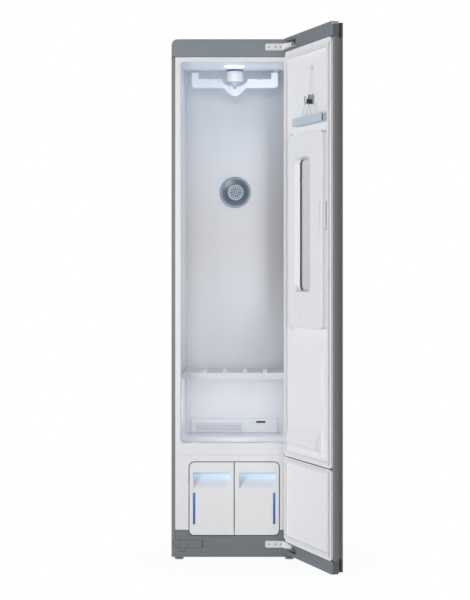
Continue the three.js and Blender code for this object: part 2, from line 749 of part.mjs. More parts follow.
function ventDish() {
  const rim = vent.outer - vent.ring - seat;
  const lipY = cavityDepth - vent.proud / 2;
  const baseY = cavityDepth + vent.dishDepth;
  const dish = turned("y", [0, 0, ventZ], [
    [0, baseY],
    [vent.base, baseY],
    [rim, cavityDepth],
    [rim, lipY],
    [rim - vent.sheet, lipY],
    [rim - vent.sheet, cavityDepth - vent.sheet / 2],
    [vent.base - vent.sheet / 2, baseY - vent.sheet],
    [0, baseY - vent.sheet],
  ], fineSteps);
  const run = [baseY - vent.sheet - over, baseY + over];
  const up = new THREE.Vector3(0, 1, 0);
  const rays = Array.from({ length: grille.slots }, (_, i) => {
    const z = [ventZ + grille.inner, ventZ + grille.outer];
    const ray = block([-grille.width / 2, grille.width / 2], run, z);
    return turnedBy(ray, (i / grille.slots) * 2 * Math.PI, up, [0, 0, ventZ]);
  });
  const dots = Array.from({ length: grille.dots }, (_, i) => {
    const angle = (i / grille.dots) * 2 * Math.PI;
    const centre = [grille.dotCircle * Math.cos(angle), 0, ventZ + grille.dotCircle * Math.sin(angle)];
    return cylinder("y", centre, grille.dotRadius, ...run, 6);
  });
  return carve(dish, ...rays, ...dots);
}

function ventInnerRing() {
  const back = cavityDepth + vent.dishDepth - vent.sheet - seat;
  const front = back - innerRing.proud;
  const soft = (innerRing.outer - innerRing.inner) / 4;
  return turned("y", [0, 0, ventZ], [
    [innerRing.inner, back],
    [innerRing.outer, back],
    [innerRing.outer, front + soft],
    [innerRing.outer - soft, front],
    [innerRing.inner + soft, front],
    [innerRing.inner, front + soft],
  ], fineSteps);
}

function intakePanel() {
  const bottom = cavityFloor(cavityDepth) + seat;
  const y = [cavityDepth - seat - intake.depth, cavityDepth - seat];
  const run = [y[0] - over, y[1] + over];
  return carve(
    prism("y", rounded([intake.left, intake.right], [bottom, bottom + intake.height], wall, 2), ...y),
    block([filter.left - seat, filter.right + seat], run, grown(filterRange(), seat)),
    block([nozzle.x - nozzle.width / 2 - seat, nozzle.x + nozzle.width / 2 + seat], run, grown(nozzleRange(), seat)),
  );
}

function lintFilter() {
  const z = filterRange();
  const front = cavityDepth - seat - intake.depth - filter.face;
  const y = [front, front + filter.depth];
  const body = block([filter.left, filter.right], y, z);
  const pocket = block(
    grown([filter.left, filter.right], -filter.frame),
    [front + filter.face, y[1] + over],
    grown(z, -filter.frame),
  );
  const inner = grown([filter.left, filter.right], -filter.frame);
  const pitch = (inner[1] - inner[0] + filter.bar) / filter.bars;
  const gaps = Array.from({ length: filter.bars }, (_, i) => {
    const low = inner[0] + i * pitch;
    return block([low, low + pitch - filter.bar], [front - over, front + filter.face + over], grown(z, -filter.frame));
  });
  return carve(body, pocket, ...gaps);
}

function steamNozzle() {
  const x = [nozzle.x - nozzle.width / 2, nozzle.x + nozzle.width / 2];
  const z = nozzleRange();
  const front = cavityDepth - seat - intake.depth;
  const back = cavityDepth + nozzle.tail;
  return carve(
    fuse(
      block(x, [front, back], z),
      block(grown(x, nozzle.lip), [front - seat - nozzle.lip, front - seat], grown(z, nozzle.lip)),
      block(x, [front - nozzle.lip, front], z),
    ),
    block(grown(x, -nozzle.lip), [front - over - nozzle.lip, back - nozzle.lip], grown(z, -nozzle.bore)),
    cylinder("z", [nozzle.x, steamPipeY, 0], steamPipe.bore, z[0] - over, (z[0] + z[1]) / 2, 12),
  );
}

function addBackWall() {
  place("vent_ring", ventRing(), ringBlue);
  place("vent_dish", ventDish(), dishMetal);
  place("vent_inner_ring", ventInnerRing(), ringCyan);
  place("intake_panel", intakePanel(), white);
  place("lint_filter", lintFilter(), tubWhite);
  place("steam_nozzle", steamNozzle(), tubWhite);
}

// Ceiling and hanger drive

function ceilingZ(y) {
  return cavityTop - (ceiling.fall * (y - ceilingY[0])) / (ceilingY[1] - ceilingY[0]);
}

function ceilingPanel() {
  const driveRoom = drive.waist + drive.gap;
  const [front, back] = ceilingY;
  const lowest = ceilingZ(axleY + ceiling.tongue);
  const top = cavityTop + ceiling.thick;
  const outline = [
    [-cavityHalf(front) + seat, front],
    [cavityHalf(front) - seat, front],
    [cavityHalf(back) - seat, back],
    [-cavityHalf(back) + seat, back],
  ];
  const plate = fuse(
    prism("z", outline, lowest, top),
    cylinder("z", [0, axleY, 0], ceiling.tongue, lowest, top),
    block([-cavityHalf(back) + seat, cavityHalf(back) - seat], [back - wall, back], [lowest, top + ceiling.lipHeight]),
  );
  const below = [
    [front - over, ceilingZ(front - over)],
    [front - over, lowest - over],
    [axleY + 2 * ceiling.tongue, lowest - over],
    [axleY + 2 * ceiling.tongue, ceilingZ(axleY + 2 * ceiling.tongue)],
  ];
  const stemSlots = [-stemX, stemX].map((x) =>
    block(
      [x - stem.slotWidth / 2, x + stem.slotWidth / 2],
      [axleY - stem.slotDepth / 2, axleY + stem.slotDepth / 2],
      [lowest - over, top + over],
    ),
  );
  return carve(
    plate,
    prism("x", below, -half, half),
    ...stemSlots,
    cylinder("z", [0, axleY, 0], driveRoom, lowest - over, top + 2 * ceiling.lipHeight),
    block([-driveRoom, driveRoom], [back - wall - over, back + over], [top, top + 2 * ceiling.lipHeight]),
    lampDisc(seat, [lowest - over, top + over]),
  );
}

function lampDisc(grow, z) {
  return cylinder("z", [0, lamp.y, 0], lamp.radius + grow, ...z);
}

function lampLens() {
  return lampDisc(0, [ceilingZ(lamp.y) - lamp.proud, cavityTop + ceiling.thick]);
}

function driveHousing() {
  const waistZ = [ceilingZ(axleY) - drive.waistDrop, cavityTop + ceiling.thick];
  const top = roof - seat - carrier.thick - seat;
  const bore = rotor.shaft + seat;
  return turned("z", [0, axleY, 0], [
    [bore, driveBottom],
    [drive.radius - drive.round, driveBottom],
    [drive.radius - drive.round * 0.3, driveBottom + drive.round * 0.3],
    [drive.radius, driveBottom + drive.round],
    [drive.radius, waistZ[0]],
    [drive.waist, waistZ[0]],
    [drive.waist, waistZ[1]],
    [drive.neck, waistZ[1]],
    [drive.neck, top],
    [bore, top],
  ], fineSteps);
}

function driveRotor() {
  const discTop = driveBottom - rotor.gap;
  const discBottom = discTop - rotor.rim;
  const coneBottom = discBottom - rotor.cone;
  const ring = (y, radius) =>
    Array.from({ length: roundSteps }, (_, i) => {
      const angle = (i / roundSteps) * 2 * Math.PI;
      return [radius * Math.cos(angle), y + radius * Math.sin(angle)];
    });
  return fuse(
    loft("z", [[coneBottom, ring(axleY - crank, rotor.pin)], [discBottom + seat, ring(axleY, rotor.radius)]]),
    turned("z", [0, axleY, 0], [
      [0, discBottom],
      [rotor.radius, discBottom],
      [rotor.radius, discTop],
      [rotor.shaft, discTop],
      [rotor.shaft, rotorTop],
      [0, rotorTop],
    ]),
    cylinder("z", [0, axleY - crank, 0], rotor.pin, coneBottom - rotor.pinLength, coneBottom + play, roundSteps),
  );
}

function driveMotor() {
  const z0 = roof + wall + seat;
  return turned("z", [0, axleY, 0], [
    [rotor.shaft + seat, z0],
    [motor.radius, z0],
    [motor.radius, z0 + motor.height - motor.round],
    [motor.radius - motor.round, z0 + motor.height],
    [0, z0 + motor.height],
    [0, rotorTop + seat],
    [rotor.shaft + seat, rotorTop + seat],
  ].reverse());
}

function railCarrier() {
  const top = roof - seat;
  const reach = cavityHalf(axleY) - carrier.margin;
  const plate = block([-reach, reach], [axleY - carrier.reach, axleY + carrier.reach], [top - carrier.thick, top]);
  const rails = [-stemX, stemX].map((x) => {
    const span = [x - railReach, x + railReach];
    const y = [axleY - rail.width / 2, axleY + rail.width / 2];
    return fuse(
      block(span, y, [railZ, railZ + rail.height]),
      block([span[0], span[0] + wall], y, [railZ, top]),
      block([span[1] - wall, span[1]], y, [railZ, top]),
    );
  });
  return carve(fuse(plate, ...rails), cylinder("z", [0, axleY, 0], rotor.shaft + play, top - carrier.thick - over, top + over));
}

function curvePoints(start, first, second, end, steps) {
  const curve = new THREE.CubicBezierCurve(...[start, first, second, end].map((p) => new THREE.Vector2(...p)));
  return curve.getPoints(steps).map(({ x, y }) => [x, y]);
}

function hangerBar() {
  const top = barBottom + bar.height;
  const low = barBottom - dip.drop;
  const innerTop = top - innerDip.drop;
  const underside = curvePoints([0, low], [dip.belly, low], [dip.side, barBottom], [dip.half, barBottom], 10).slice(1);
  const upper = curvePoints(
    [innerDip.half, top],
    [innerDip.half, (top + innerTop) / 2],
    [innerDip.belly, innerTop],
    [innerDip.flat, innerTop],
    8,
  );
  const endRound = curvePoints(
    [barHalf - bar.round, barBottom],
    [barHalf - bar.round / 2, barBottom],
    [barHalf, barBottom + bar.round / 2],
    [barHalf, barBottom + bar.round],
    4,
  );
  const right = [
    ...underside,
    ...endRound,
    [barHalf, top + bar.shoulder],
    [barHalf - bar.upright, top + bar.shoulder],
    [barHalf - bar.upright, top],
    ...upper,
  ];
  const left = right.map(([x, z]) => [-x, z]).reverse();
  const outline = [[0, low], ...right, ...left];
  const y = [axleY - bar.thick / 2, axleY + bar.thick / 2];
  const stems = [-stemX, stemX].map((x) =>
    block(
      [x - stem.width / 2, x + stem.width / 2],
      [axleY - stem.width / 2, axleY + stem.width / 2],
      [top + bar.shoulder - over, sliderZ()[0] + play],
    ),
  );
  const sliders = [-stemX, stemX].map((x) => {
    const z = sliderZ();
    const bore = block(
      [x - slider.length, x + slider.length],
      grown([axleY - rail.width / 2, axleY + rail.width / 2], slider.bore),
      grown([railZ, railZ + rail.height], slider.bore),
    );
    return carve(
      block([x - slider.length / 2, x + slider.length / 2], [axleY - slider.width / 2, axleY + slider.width / 2], z),
      bore,
    );
  });
  const hub = block([-yoke.hub, yoke.hub], [axleY - yoke.half, axleY + yoke.half], [low + yoke.rise, innerTop]);
  const notches = [hookNotch, barSlit].flatMap(({ places, width: across, depth: deep }) =>
    places.map((x) => block([x - across / 2, x + across / 2], grown(y, over), [top - deep, top + over])),
  );
  return carve(
    fuse(prism("y", outline, ...y), hub, ...stems, ...sliders),
    block([-yoke.width / 2, yoke.width / 2], [axleY - yoke.half - over, axleY + yoke.half + over], [innerTop - yoke.depth, innerTop + over]),
    ...notches,
  );
}

function sliderZ() {
  const middle = railZ + rail.height / 2;
  return [middle - slider.height / 2, middle + slider.height / 2];
}

function addDrive() {
  place("ceiling_panel", ceilingPanel(), tubWhite);
  place("lamp_lens", lampLens(), lensWhite);
  place("drive_housing", driveHousing(), white);
  place("drive_rotor", driveRotor(), motorBlack);
  place("drive_motor", driveMotor(), motorBlack);
  place("rail_carrier", railCarrier(), galvanised);
  place("hanger_bar", hangerBar(), white);
}

// Tanks and their bay

function tankBay() {
  const y = [frontDepth + seat, bayBack];
  const runners = runner.x.flatMap((x) =>
    [-x, x].map((at) =>
      block([at - runner.width / 2, at + runner.width / 2], y, [bayFloor - sheet / 2, tankBottom - seat]),
    ),
  );
  const divider = block([-tank.gap / 3, tank.gap / 3], y, [bayFloor - sheet / 2, bayFloor + level.width * 2]);
  const outer = rounded(grown([-bayHalf, bayHalf], sheet), grown([bayFloor, bayTop], sheet), bayCorner + sheet);
  const inner = rounded([-bayHalf, bayHalf], [bayFloor, bayTop], bayCorner);
  const ports = [-spout.x, spout.x].map((x) =>
    cylinder("y", [x, 0, tankBottom + spout.rise], spout.radius + seat, bayBack - over, bayBack + sheet + over, 16),
  );
  return carve(
    fuse(
      carve(prism("y", outer, y[0], bayBack + sheet), prism("y", inner, y[0] - over, bayBack)),
      divider,
      ...runners,
    ),
    ...ports,
  );
}

function tankOutline(inset, corner) {
  const soft = play;
  return rounded(
    [tank.gap / 2 + inset, tankHalf - inset],
    [tankBottom + inset, tankTop - inset],
    [soft, corner, corner, soft],
  );
}

function scoopProfile(grow) {
  const [z0, z1] = scoopZ;
  return [
    [-over, z0 - grow],
    [grow, z0 - grow],
    [scoop.depth + grow, z0 + scoop.lip - grow],
    [scoop.depth + grow, z1 + scoop.grip + grow],
    [tank.front / 2, z1 + scoop.grip + grow],
    [tank.front / 2, z1 + grow],
    [-over, z1 + grow],
  ];
}

function scoopSolid(grow) {
  const whole = prism("x", scoopProfile(grow), scoopX[0] - grow, scoopX[1] + grow);
  return grow ? carve(whole, block([0, half], [-2 * over, 0], [0, height])) : whole;
}

function tankFront() {
  return carve(
    fuse(prism("y", tankOutline(0, tank.corner), 0, tank.front), scoopSolid(scoop.wall)),
    scoopSolid(0),
    block(grown(levelX, seat), [-over, tank.front + over], grown(levelZ, seat)),
  );
}

function tankShell() {
  const y = [tank.front + seat, tankBack];
  const outer = prism("y", tankOutline(0, tank.corner), ...y);
  const inner = prism("y", tankOutline(tank.wall, tank.corner - tank.wall), y[0] + tank.wall, y[1] - tank.wall);
  const room = (grow) =>
    block(
      grown(scoopX, scoop.wall + seat + grow),
      [y[0] - over, scoop.depth + scoop.wall + seat + grow],
      grown([scoopZ[0], scoopZ[1] + scoop.grip], scoop.wall + seat + grow),
    );
  const centre = [spout.x, 0, tankBottom + spout.rise];
  const window = block(levelX, [level.proud, y[0] + tank.wall / 2], levelZ);
  return carve(
    fuse(carve(outer, carve(inner, room(tank.wall)), room(0)), window, cylinder("y", centre, spout.radius, y[1] - tank.wall, y[1] + spout.length, 16)),
    cylinder("y", centre, spout.bore, y[1] - tank.wall - over, y[1] + spout.length + over, 12),
    prism("z", rounded(filler.x, filler.y, filler.corner), tankTop - tank.wall - over, tankTop + over),
  );
}

function addTanks() {
  place("tank_bay", tankBay(), tubWhite);
  const front = tankFront();
  const shell = tankShell();
  place("water_tank_front", front, tankWhite);
  place("water_tank_shell", shell, tankClear);
  place("drain_tank_front", mirrored(front), tankWhite);
  place("drain_tank_shell", mirrored(shell), tankClear);
}

// Machine space

const panFloor = footHeight + sheet + seat;

function compressorSolid() {
  const { radius, dome } = compressor;
  const x = compressor.margin - half;
  const y = depth - compressor.rear;
  const z0 = panFloor;
  const plate = block([x - compressor.plate, x + compressor.plate], [y - compressor.plate, y + compressor.plate], [z0, z0 + compressor.plateThick]);
  const top = z0 + compressor.height;
  return fuse(
    plate,
    turned("z", [x, y, 0], [
      [0, z0 + compressor.plateThick / 2],
      [radius - dome / 2, z0 + compressor.plateThick / 2],
      [radius, z0 + dome],
      [radius, top - dome],
      [radius - dome / 2, top - dome / 4],
      [0, top],
    ]),
  );
}

function exchangerSolid() {
  const top = panFloor + exchanger.height;
  const pitch = (exchanger.x[1] - exchanger.x[0]) / exchanger.fins;
  const gaps = Array.from({ length: exchanger.fins }, (_, i) => {
    const middle = exchanger.x[0] + (i + 0.5) * pitch;
    return block(
      [middle - exchanger.gap / 2, middle + exchanger.gap / 2],
      grown(exchangerY, over),
      [panFloor + exchanger.floor, top - exchanger.floor],
    );
  });
  return carve(block(exchanger.x, exchangerY, [panFloor, top]), ...gaps);
}

function blowerHousing() {
  const centre = [blower.x, 0, blowerZ];
  const top = seam + wall - seat;
  const outletX = [-blower.outletHalf, blower.outletHalf];
  const outletY = supplyY;
  const footZ = [panFloor + exchanger.height + seat, blowerZ];
  const outer = fuse(
    cylinder("y", centre, blower.radius, blowerY[0], blowerY[1], fineSteps),
    block(outletX, outletY, [blowerZ, top]),
    block([exchanger.x[0] + wall, exchanger.x[0] + blower.foot], [blowerY[0], exchangerY[1]], footZ),
  );
  const inner = fuse(
    cylinder("y", centre, blower.radius - sheet, blowerY[0] + sheet, blowerY[1] - sheet, fineSteps),
    block(grown(outletX, -sheet), grown(outletY, -sheet), [blowerZ, top + over]),
  );
  const shaftEnd = blowerY[0] + sheet + wheel.clear;
  return fuse(
    carve(outer, inner, cylinder("y", centre, blower.inlet, blowerY[0] - over, blowerY[0] + sheet + over)),
    cylinder("y", centre, wheel.shaft, shaftEnd, blowerY[1] - sheet / 2, 12),
  );
}

function blowerWheel() {
  const y = [blowerY[0] + sheet + wheel.clear, blowerY[1] - sheet - wheel.clear];
  const centre = [blower.x, 0, blowerZ];
  const up = new THREE.Vector3(0, 1, 0);
  const blades = Array.from({ length: wheel.blades }, (_, i) => {
    const blade = block(
      [blower.x - wheel.blade / 2, blower.x + wheel.blade / 2],
      [y[0] + sheet / 2, y[1] - sheet / 2],
      [blowerZ + wheel.radius - wheel.bladeLength, blowerZ + wheel.radius - sheet / 2],
    );
    return turnedBy(blade, (i / wheel.blades) * 2 * Math.PI, up, centre);
  });
  const ring = turned("y", centre, [
    [wheel.radius - wheel.bladeLength, y[0]],
    [wheel.radius, y[0]],
    [wheel.radius, y[0] + wheel.disc],
    [wheel.radius - wheel.bladeLength, y[0] + wheel.disc],
  ], fineSteps);
  return carve(
    fuse(
      cylinder("y", centre, wheel.radius, y[1] - wheel.disc, y[1], fineSteps),
      cylinder("y", centre, wheel.hub, y[0] + wheel.clear, y[1], 16),
      ring,
      ...blades,
    ),
    cylinder("y", centre, wheel.shaft + seat, y[0] - over, y[1] + over, 12),
  );
}

function steamGenerator() {
  const z0 = panFloor + exchanger.height + seat;
  const middle = z0 + boiler.foot / 4 + boiler.radius;
  const pipeStart = middle + boiler.radius - over;
  const pipeEnd = nozzleRange()[0] - seat;
  const pipeBend = seam - boiler.drop;
  const pipe = wire(
    [
      [nozzle.x, boilerY, pipeStart],
      [nozzle.x, boilerY, pipeStart + boiler.foot],
      [nozzle.x, (boilerY + steamPipeY) / 2, pipeBend - boiler.foot / 2],
      [nozzle.x, steamPipeY, pipeBend],
      [nozzle.x, steamPipeY, (pipeBend + pipeEnd) / 2],
      [nozzle.x, steamPipeY, pipeEnd],
    ],
    steamPipe.radius,
    24,
  );
  return fuse(
    cylinder("x", [0, boilerY, middle], boiler.radius, ...boiler.x),
    block(grown(boiler.x, -boiler.foot / 4), [boilerY - boiler.foot / 2, boilerY + boiler.foot / 2], [z0, middle]),
    pipe,
  );
}

function waterPump() {
  const z0 = panFloor;
  const centre = [(pump.x[0] + pump.x[1]) / 2, (pumpY[0] + pumpY[1]) / 2, 0];
  return fuse(
    block(pump.x, pumpY, [z0, z0 + pump.height]),
    cylinder("z", centre, pump.head, z0, z0 + pump.height + pump.headHeight, 16),
  );
}

function controlBoard() {
  const z0 = roof + wall + seat;
  const sheetZ = [z0 + board.postHeight, z0 + board.postHeight + board.thick];
  const posts = board.x.flatMap((x, i) =>
    boardY.map((y, j) =>
      cylinder("z", [x + (i ? -1 : 1) * 2 * board.post, y + (j ? -1 : 1) * 2 * board.post, 0], board.post, z0, sheetZ[1], 12),
    ),
  );
  const middle = (boardY[0] + boardY[1]) / 2;
  const parts = [-1, 1].map((side) =>
    block(
      grown(board.x, -boardPart.margin),
      grown([middle + side * boardPart.offset, middle + side * boardPart.offset], boardPart.half),
      [sheetZ[0], sheetZ[1] + board.partHeight],
    ),
  );
  return fuse(block(board.x, boardY, sheetZ), ...posts, ...parts);
}

function addMachine() {
  place("compressor", compressorSolid(), motorBlack);
  place("heat_exchanger", exchangerSolid(), galvanised);
  place("blower_housing", blowerHousing(), grey);
  place("blower_wheel", blowerWheel(), motorBlack);
  place("steam_generator", steamGenerator(), galvanised);
  place("water_pump", waterPump(), motorBlack);
  place("control_board", controlBoard(), boardGreen);
}

// Hinge plates on the cabinet, with the arm and the pin that the door turns on

function hingePlate(bottom, armZ, pinZ) {
  const z = [bottom, bottom + hinge.height];
  const y = [-seat - hinge.plateThick, -seat];
  const right = hinge.left + hinge.length;
  const arm = [
    [right - hinge.corner, -seat],
    [right + hingeArm.root, -seat],
    [pivotX + hinge.knuckle, hingeArm.tip - pivotDepth],
    [pivotX + hinge.knuckle, -pivotDepth],
    [pivotX - hinge.knuckle, -pivotDepth],
    [right + hingeArm.waist, -hingeArm.bend],
    [right - hinge.corner, -hingeArm.elbow],
  ];
  const screws = hingeScrew.places.map((x) =>
    cylinder("y", [hinge.left + x, 0, (z[0] + z[1]) / 2], hingeScrew.radius, y[0] - over, y[0] + hingeScrew.depth, 12),
  );
  return carve(
    fuse(
      prism("y", rounded([hinge.left, right + hinge.corner], z, hinge.corner, 2), ...y),
      prism("z", arm, ...armZ),
      cylinder("z", [pivotX, -pivotDepth, 0], hinge.knuckle, ...armZ),
      cylinder("z", [pivotX, -pivotDepth, 0], hinge.pin, ...pinZ, 16),
    ),
    ...screws,
  );
}

const armTopZ = [hingeTopZ + hingeArm.step, hingeTopZ + hingeArm.step + hingeArm.thick];
const armLowZ = [hingeLowZ + hinge.height - hingeArm.step - hingeArm.thick, hingeLowZ + hinge.height - hingeArm.step];

function addHinges() {
  const upper = hingePlate(hingeTopZ, armTopZ, [armTopZ[0] - hinge.pinLength, armTopZ[0] + over]);
  const lower = hingePlate(hingeLowZ, armLowZ, [armLowZ[1] - over, armLowZ[1] + hinge.pinLength - over]);
  place("hinge_plate_upper", upper, cream);
  place("hinge_plate_lower", lower, cream);
}

// Door

function freeEdgeSteps() {
  const frameY = doorInner - edge.liner;
  const rimY = frameY - edge.frame;
  return { frameY, rimY, rimBack: rimY - edge.bevel, lipY: doorOuter + edge.lip, floorX: freeEdge + edge.floor };
}

// All that is cut away outside the rim: the groove with its slanted floor, the slit beside the lip and the set-back
function grooveSolid(z) {
  const { rimY, rimBack, lipY, floorX } = freeEdgeSteps();
  const outline = [
    [freeEdge - over, rimY],
    [freeEdge, rimY],
    [freeEdge + edge.bevel, rimBack],
    [floorX, rimBack],
    [outerEdge + seat, lipY + edge.slit],
    [outerEdge + edge.slitRun, lipY + edge.slit],
    [outerEdge + edge.slitRun, lipY],
    [outerEdge, lipY],
    [outerEdge, doorOuter - over],
    [freeEdge - over, doorOuter - over],
  ];
  return prism("z", outline, ...z);
}

function doorSkin() {
  const { frameY, lipY } = freeEdgeSteps();
  const outline = [
    [outerEdge, doorOuter],
    [hingeEdge, doorOuter],
    [hingeEdge, frameY],
    [hingeEdge - sheet, frameY],
    [hingeEdge - sheet, doorOuter + sheet],
    [outerEdge + sheet, doorOuter + sheet],
    [outerEdge + sheet, lipY],
    [outerEdge, lipY],
  ];
  return carve(
    prism("z", outline, skinBottom + seat, skinTop - seat),
    prism("y", displayOutline(seat), doorOuter - over, doorOuter + sheet + over),
  );
}

function displayOutline(grow) {
  const x = [displayX - display.width / 2, displayX + display.width / 2];
  return rounded(grown(x, grow), grown(displayZ, grow), display.corner);
}

// The rim of the free edge, a bar with one bevelled corner
function edgeFrame() {
  const { frameY, rimY, rimBack } = freeEdgeSteps();
  const end = freeEdge + edge.railRun;
  const outline = [
    [freeEdge, rimY],
    [freeEdge + edge.bevel, rimBack],
    [end, rimBack],
    [end, frameY],
    [freeEdge, frameY],
  ];
  return prism("z", outline, skinBottom + seat, skinTop - seat);
}

// The rail behind the rim: the slanted floor of the finger groove, and the seat of the lip
function handleRail() {
  const { rimBack, lipY } = freeEdgeSteps();
  const end = freeEdge + edge.railRun;
  const top = rimBack - seat;
  const z = [skinBottom + seat, skinTop - seat];
  const body = fuse(
    block([outerEdge + sheet + seat, end], [doorOuter + sheet + seat, top], z),
    block([outerEdge, end], [lipY + seat, top], z),
  );
  return carve(body, grooveSolid(grown(z, over)));
}

function doorCore() {
  const { frameY } = freeEdgeSteps();
  const x = [freeEdge + edge.railRun + seat, hingeEdge - sheet - seat];
  return carve(
    block(x, [doorOuter + sheet + seat, frameY - seat], [skinBottom + seat, skinTop - seat]),
    prism("y", pocketOutline(wall + seat), doorInner - liner.recess - padPocket.depth - wall - seat, doorInner),
  );
}

function pocketOutline(grow) {
  return rounded(grown(pocketX, grow), grown(pocketZ, grow), padPocket.corner + grow);
}

function capSolid(bottom, top, cornerAtTop, open) {
  const corners = cornerAtTop ? [0, 0, capCorner, capCorner] : [capCorner, capCorner, 0, 0];
  const plan = rounded([freeEdge, hingeEdge], [doorOuter, doorInner], [play, capCorner, play, play]);
  const shell = prism("z", plan, bottom, top).intersect(
    prism("y", rounded([freeEdge, hingeEdge], [bottom, top], corners), doorOuter - over, doorInner + over),
  );
  const { floorX } = freeEdgeSteps();
  const hollowZ = open === "bottom" ? [bottom - over, top - capWall] : [bottom + capWall, top + over];
  return carve(
    shell,
    grooveSolid([bottom - over, top + over]),
    block([floorX + capWall, armNotch.x - capWall], [doorOuter + capWall, doorInner - capWall], hollowZ),
  );
}

function armRoom(plateBottom) {
  const z = grown([plateBottom, plateBottom + hinge.height], armNotch.clear);
  return fuse(
    block([armNotch.x, hingeEdge + over], [armNotch.y, doorInner + over], z),
    block([armNotch.linkX, armNotch.x + over], [armNotch.linkY, doorInner + over], z),
  );
}

function pinRoom(z) {
  return cylinder("z", [0, 0, 0], hinge.pin + seat, ...z, 16);
}

function addDoorShell() {
  const topCap = carve(
    capSolid(skinTop, doorTop, true, "bottom"),
    armRoom(hingeTopZ),
    pinRoom([armTopZ[0] - hinge.pinLength - over, hingeTopZ + over]),
  );
  const bottomCap = carve(
    capSolid(doorBottom, skinBottom, false, "top"),
    armRoom(hingeLowZ),
    pinRoom([hingeLowZ + hinge.height, armLowZ[1] + hinge.pinLength + over]),
  );
  place("door_skin", doorSkin(), steel, door);
  place("door_cap_top", topCap, grey, door);
  place("door_cap_bottom", bottomCap, grey, door);
  place("door_edge_frame", edgeFrame(), edgeGrey, door);
  place("door_handle_rail", handleRail(), edgeGrey, door);
  place("door_core", doorCore(), foam, door);
  place("door_display", prism("y", displayOutline(0), doorOuter, doorOuter + sheet), darkGlass, door);
}

function linerTray(z, recess) {
  const back = doorInner - edge.liner;
  const reach = liner.recess + over;
  const recessOutline = (grow) =>
    rounded(grown(recess.x, grow), grown(recess.z, grow), liner.recessCorner + grow);
  return carve(
    prism("y", rounded(linerX, z, liner.corner), back, doorInner),
    prism("y", rounded(grown(linerX, -wall), grown(z, -wall), liner.corner - wall), back - over, recessPlane - wall),
    loft("y", [[recessPlane, recessOutline(0)], [doorInner + over, recessOutline(reach)]]),
  );
}

function dripDeflector() {
  const outline = [
    [recessPlane - wall / 2, seam + dripPlate.low],
    [recessPlane + dripPlate.foot, seam + dripPlate.low],
    [recessPlane + dripPlate.proud, seam + dripPlate.crest],
    [recessPlane + dripPlate.back, seam + (dripPlate.crest + dripPlate.high) / 2],
    [recessPlane, seam + dripPlate.high],
    [recessPlane - wall / 2, seam + dripPlate.high],
  ];
  return prism("x", outline, ...dripX);
}

function holeStrip() {
  const middle = (stripX[0] + stripX[1]) / 2;
  const run = [recessPlane + seat, recessPlane + strip.proud + over];
  const holes = Array.from({ length: strip.count }, (_, i) =>
    cylinder("y", [middle, 0, stripZ[0] + strip.first + i * strip.pitch], strip.hole, ...run, 12),
  );
  return carve(
    prism("y", rounded(stripX, stripZ, wall, 2), recessPlane - wall / 2, recessPlane + strip.proud),
    ...holes,
  );
}

function clampPeg() {
  const root = recessPlane - wall / 2;
  const end = recessPlane + peg.reach;
  const top = pegZ + peg.thick;
  const outline = [
    [root, pegZ],
    [end, pegZ],
    [end, top + peg.lip],
    [end - peg.lipThick, top + peg.lip],
    [end - peg.lipThick, top],
    [root, top],
  ];
  return prism("x", outline, pegX - peg.width / 2, pegX + peg.width / 2);
}

const pressAxis = [pressX[1] - pressPivot.inset, recessPlane + pressPivot.height];

function pressEar(z) {
  const x = [pressAxis[0] - pressPivot.earWidth / 2, pressAxis[0] + pressPivot.earWidth / 2];
  return carve(
    block(x, [recessPlane - wall / 2, recessPlane + pressPivot.earDepth], z),
    cylinder("z", [...pressAxis, 0], pressPivot.radius + seat, ...grown(z, over), 16),
  );
}

function earRanges() {
  const gap = play;
  return [
    [pressZ[0] - gap - pressPivot.earThick, pressZ[0] - gap],
    [pressZ[1] + gap, pressZ[1] + gap + pressPivot.earThick],
  ];
}

function upperLiner() {
  const z = [seam, skinTop - seat];
  const pocketBack = recessPlane - padPocket.depth;
  return carve(
    fuse(
      linerTray(z, upperRecess),
      prism("y", pocketOutline(wall), pocketBack - wall, recessPlane - wall / 2),
      dripDeflector(),
      holeStrip(),
      clampPeg(),
      ...earRanges().map(pressEar),
    ),
    prism("y", pocketOutline(0), pocketBack, recessPlane + over),
  );
}

function lowerLiner() {
  return linerTray([skinBottom + seat, seam - liner.seamGap], lowerRecess);
}

function gasketRing(z) {
  const x = [-(pivotX + gasketHalf), -(pivotX - gasketHalf)];
  const y = [doorInner + seat, pivotDepth - gasket.gap];
  return carve(
    prism("y", rounded(x, z, gasket.corner), ...y),
    prism("y", rounded(grown(x, -gasket.width), grown(z, -gasket.width), gasket.corner - gasket.width + seat), y[0] - over, y[1] + over),
  );
}

function addLiners() {
  place("door_liner_upper", upperLiner(), tubWhite, door);
  place("door_liner_lower", lowerLiner(), tubWhite, door);
  place("door_gasket_upper", gasketRing([seam + gasket.sill, headerBottom - gasket.lintel]), rubber, door);
  place("door_gasket_lower", gasketRing([skinBottom + gasket.low, seam - gasket.seamLow]), rubber, door);
}

// Trouser press and clamp

function windowLoft(grow) {
  const back = recessPlane + press.back;
  const face = recessPlane + press.face;
  const section = (inset) =>
    rounded(grown(windowX, grow - inset), grown(windowZ, grow - inset), windowHole.corner + grow - inset);
  const slope = windowHole.slope / (face - back);
  const at = (y) => [y, section(slope * (face - y))];
  return grow ? loft("y", [at(back), at(face)]) : loft("y", [at(back - over), at(face + over)]);
}

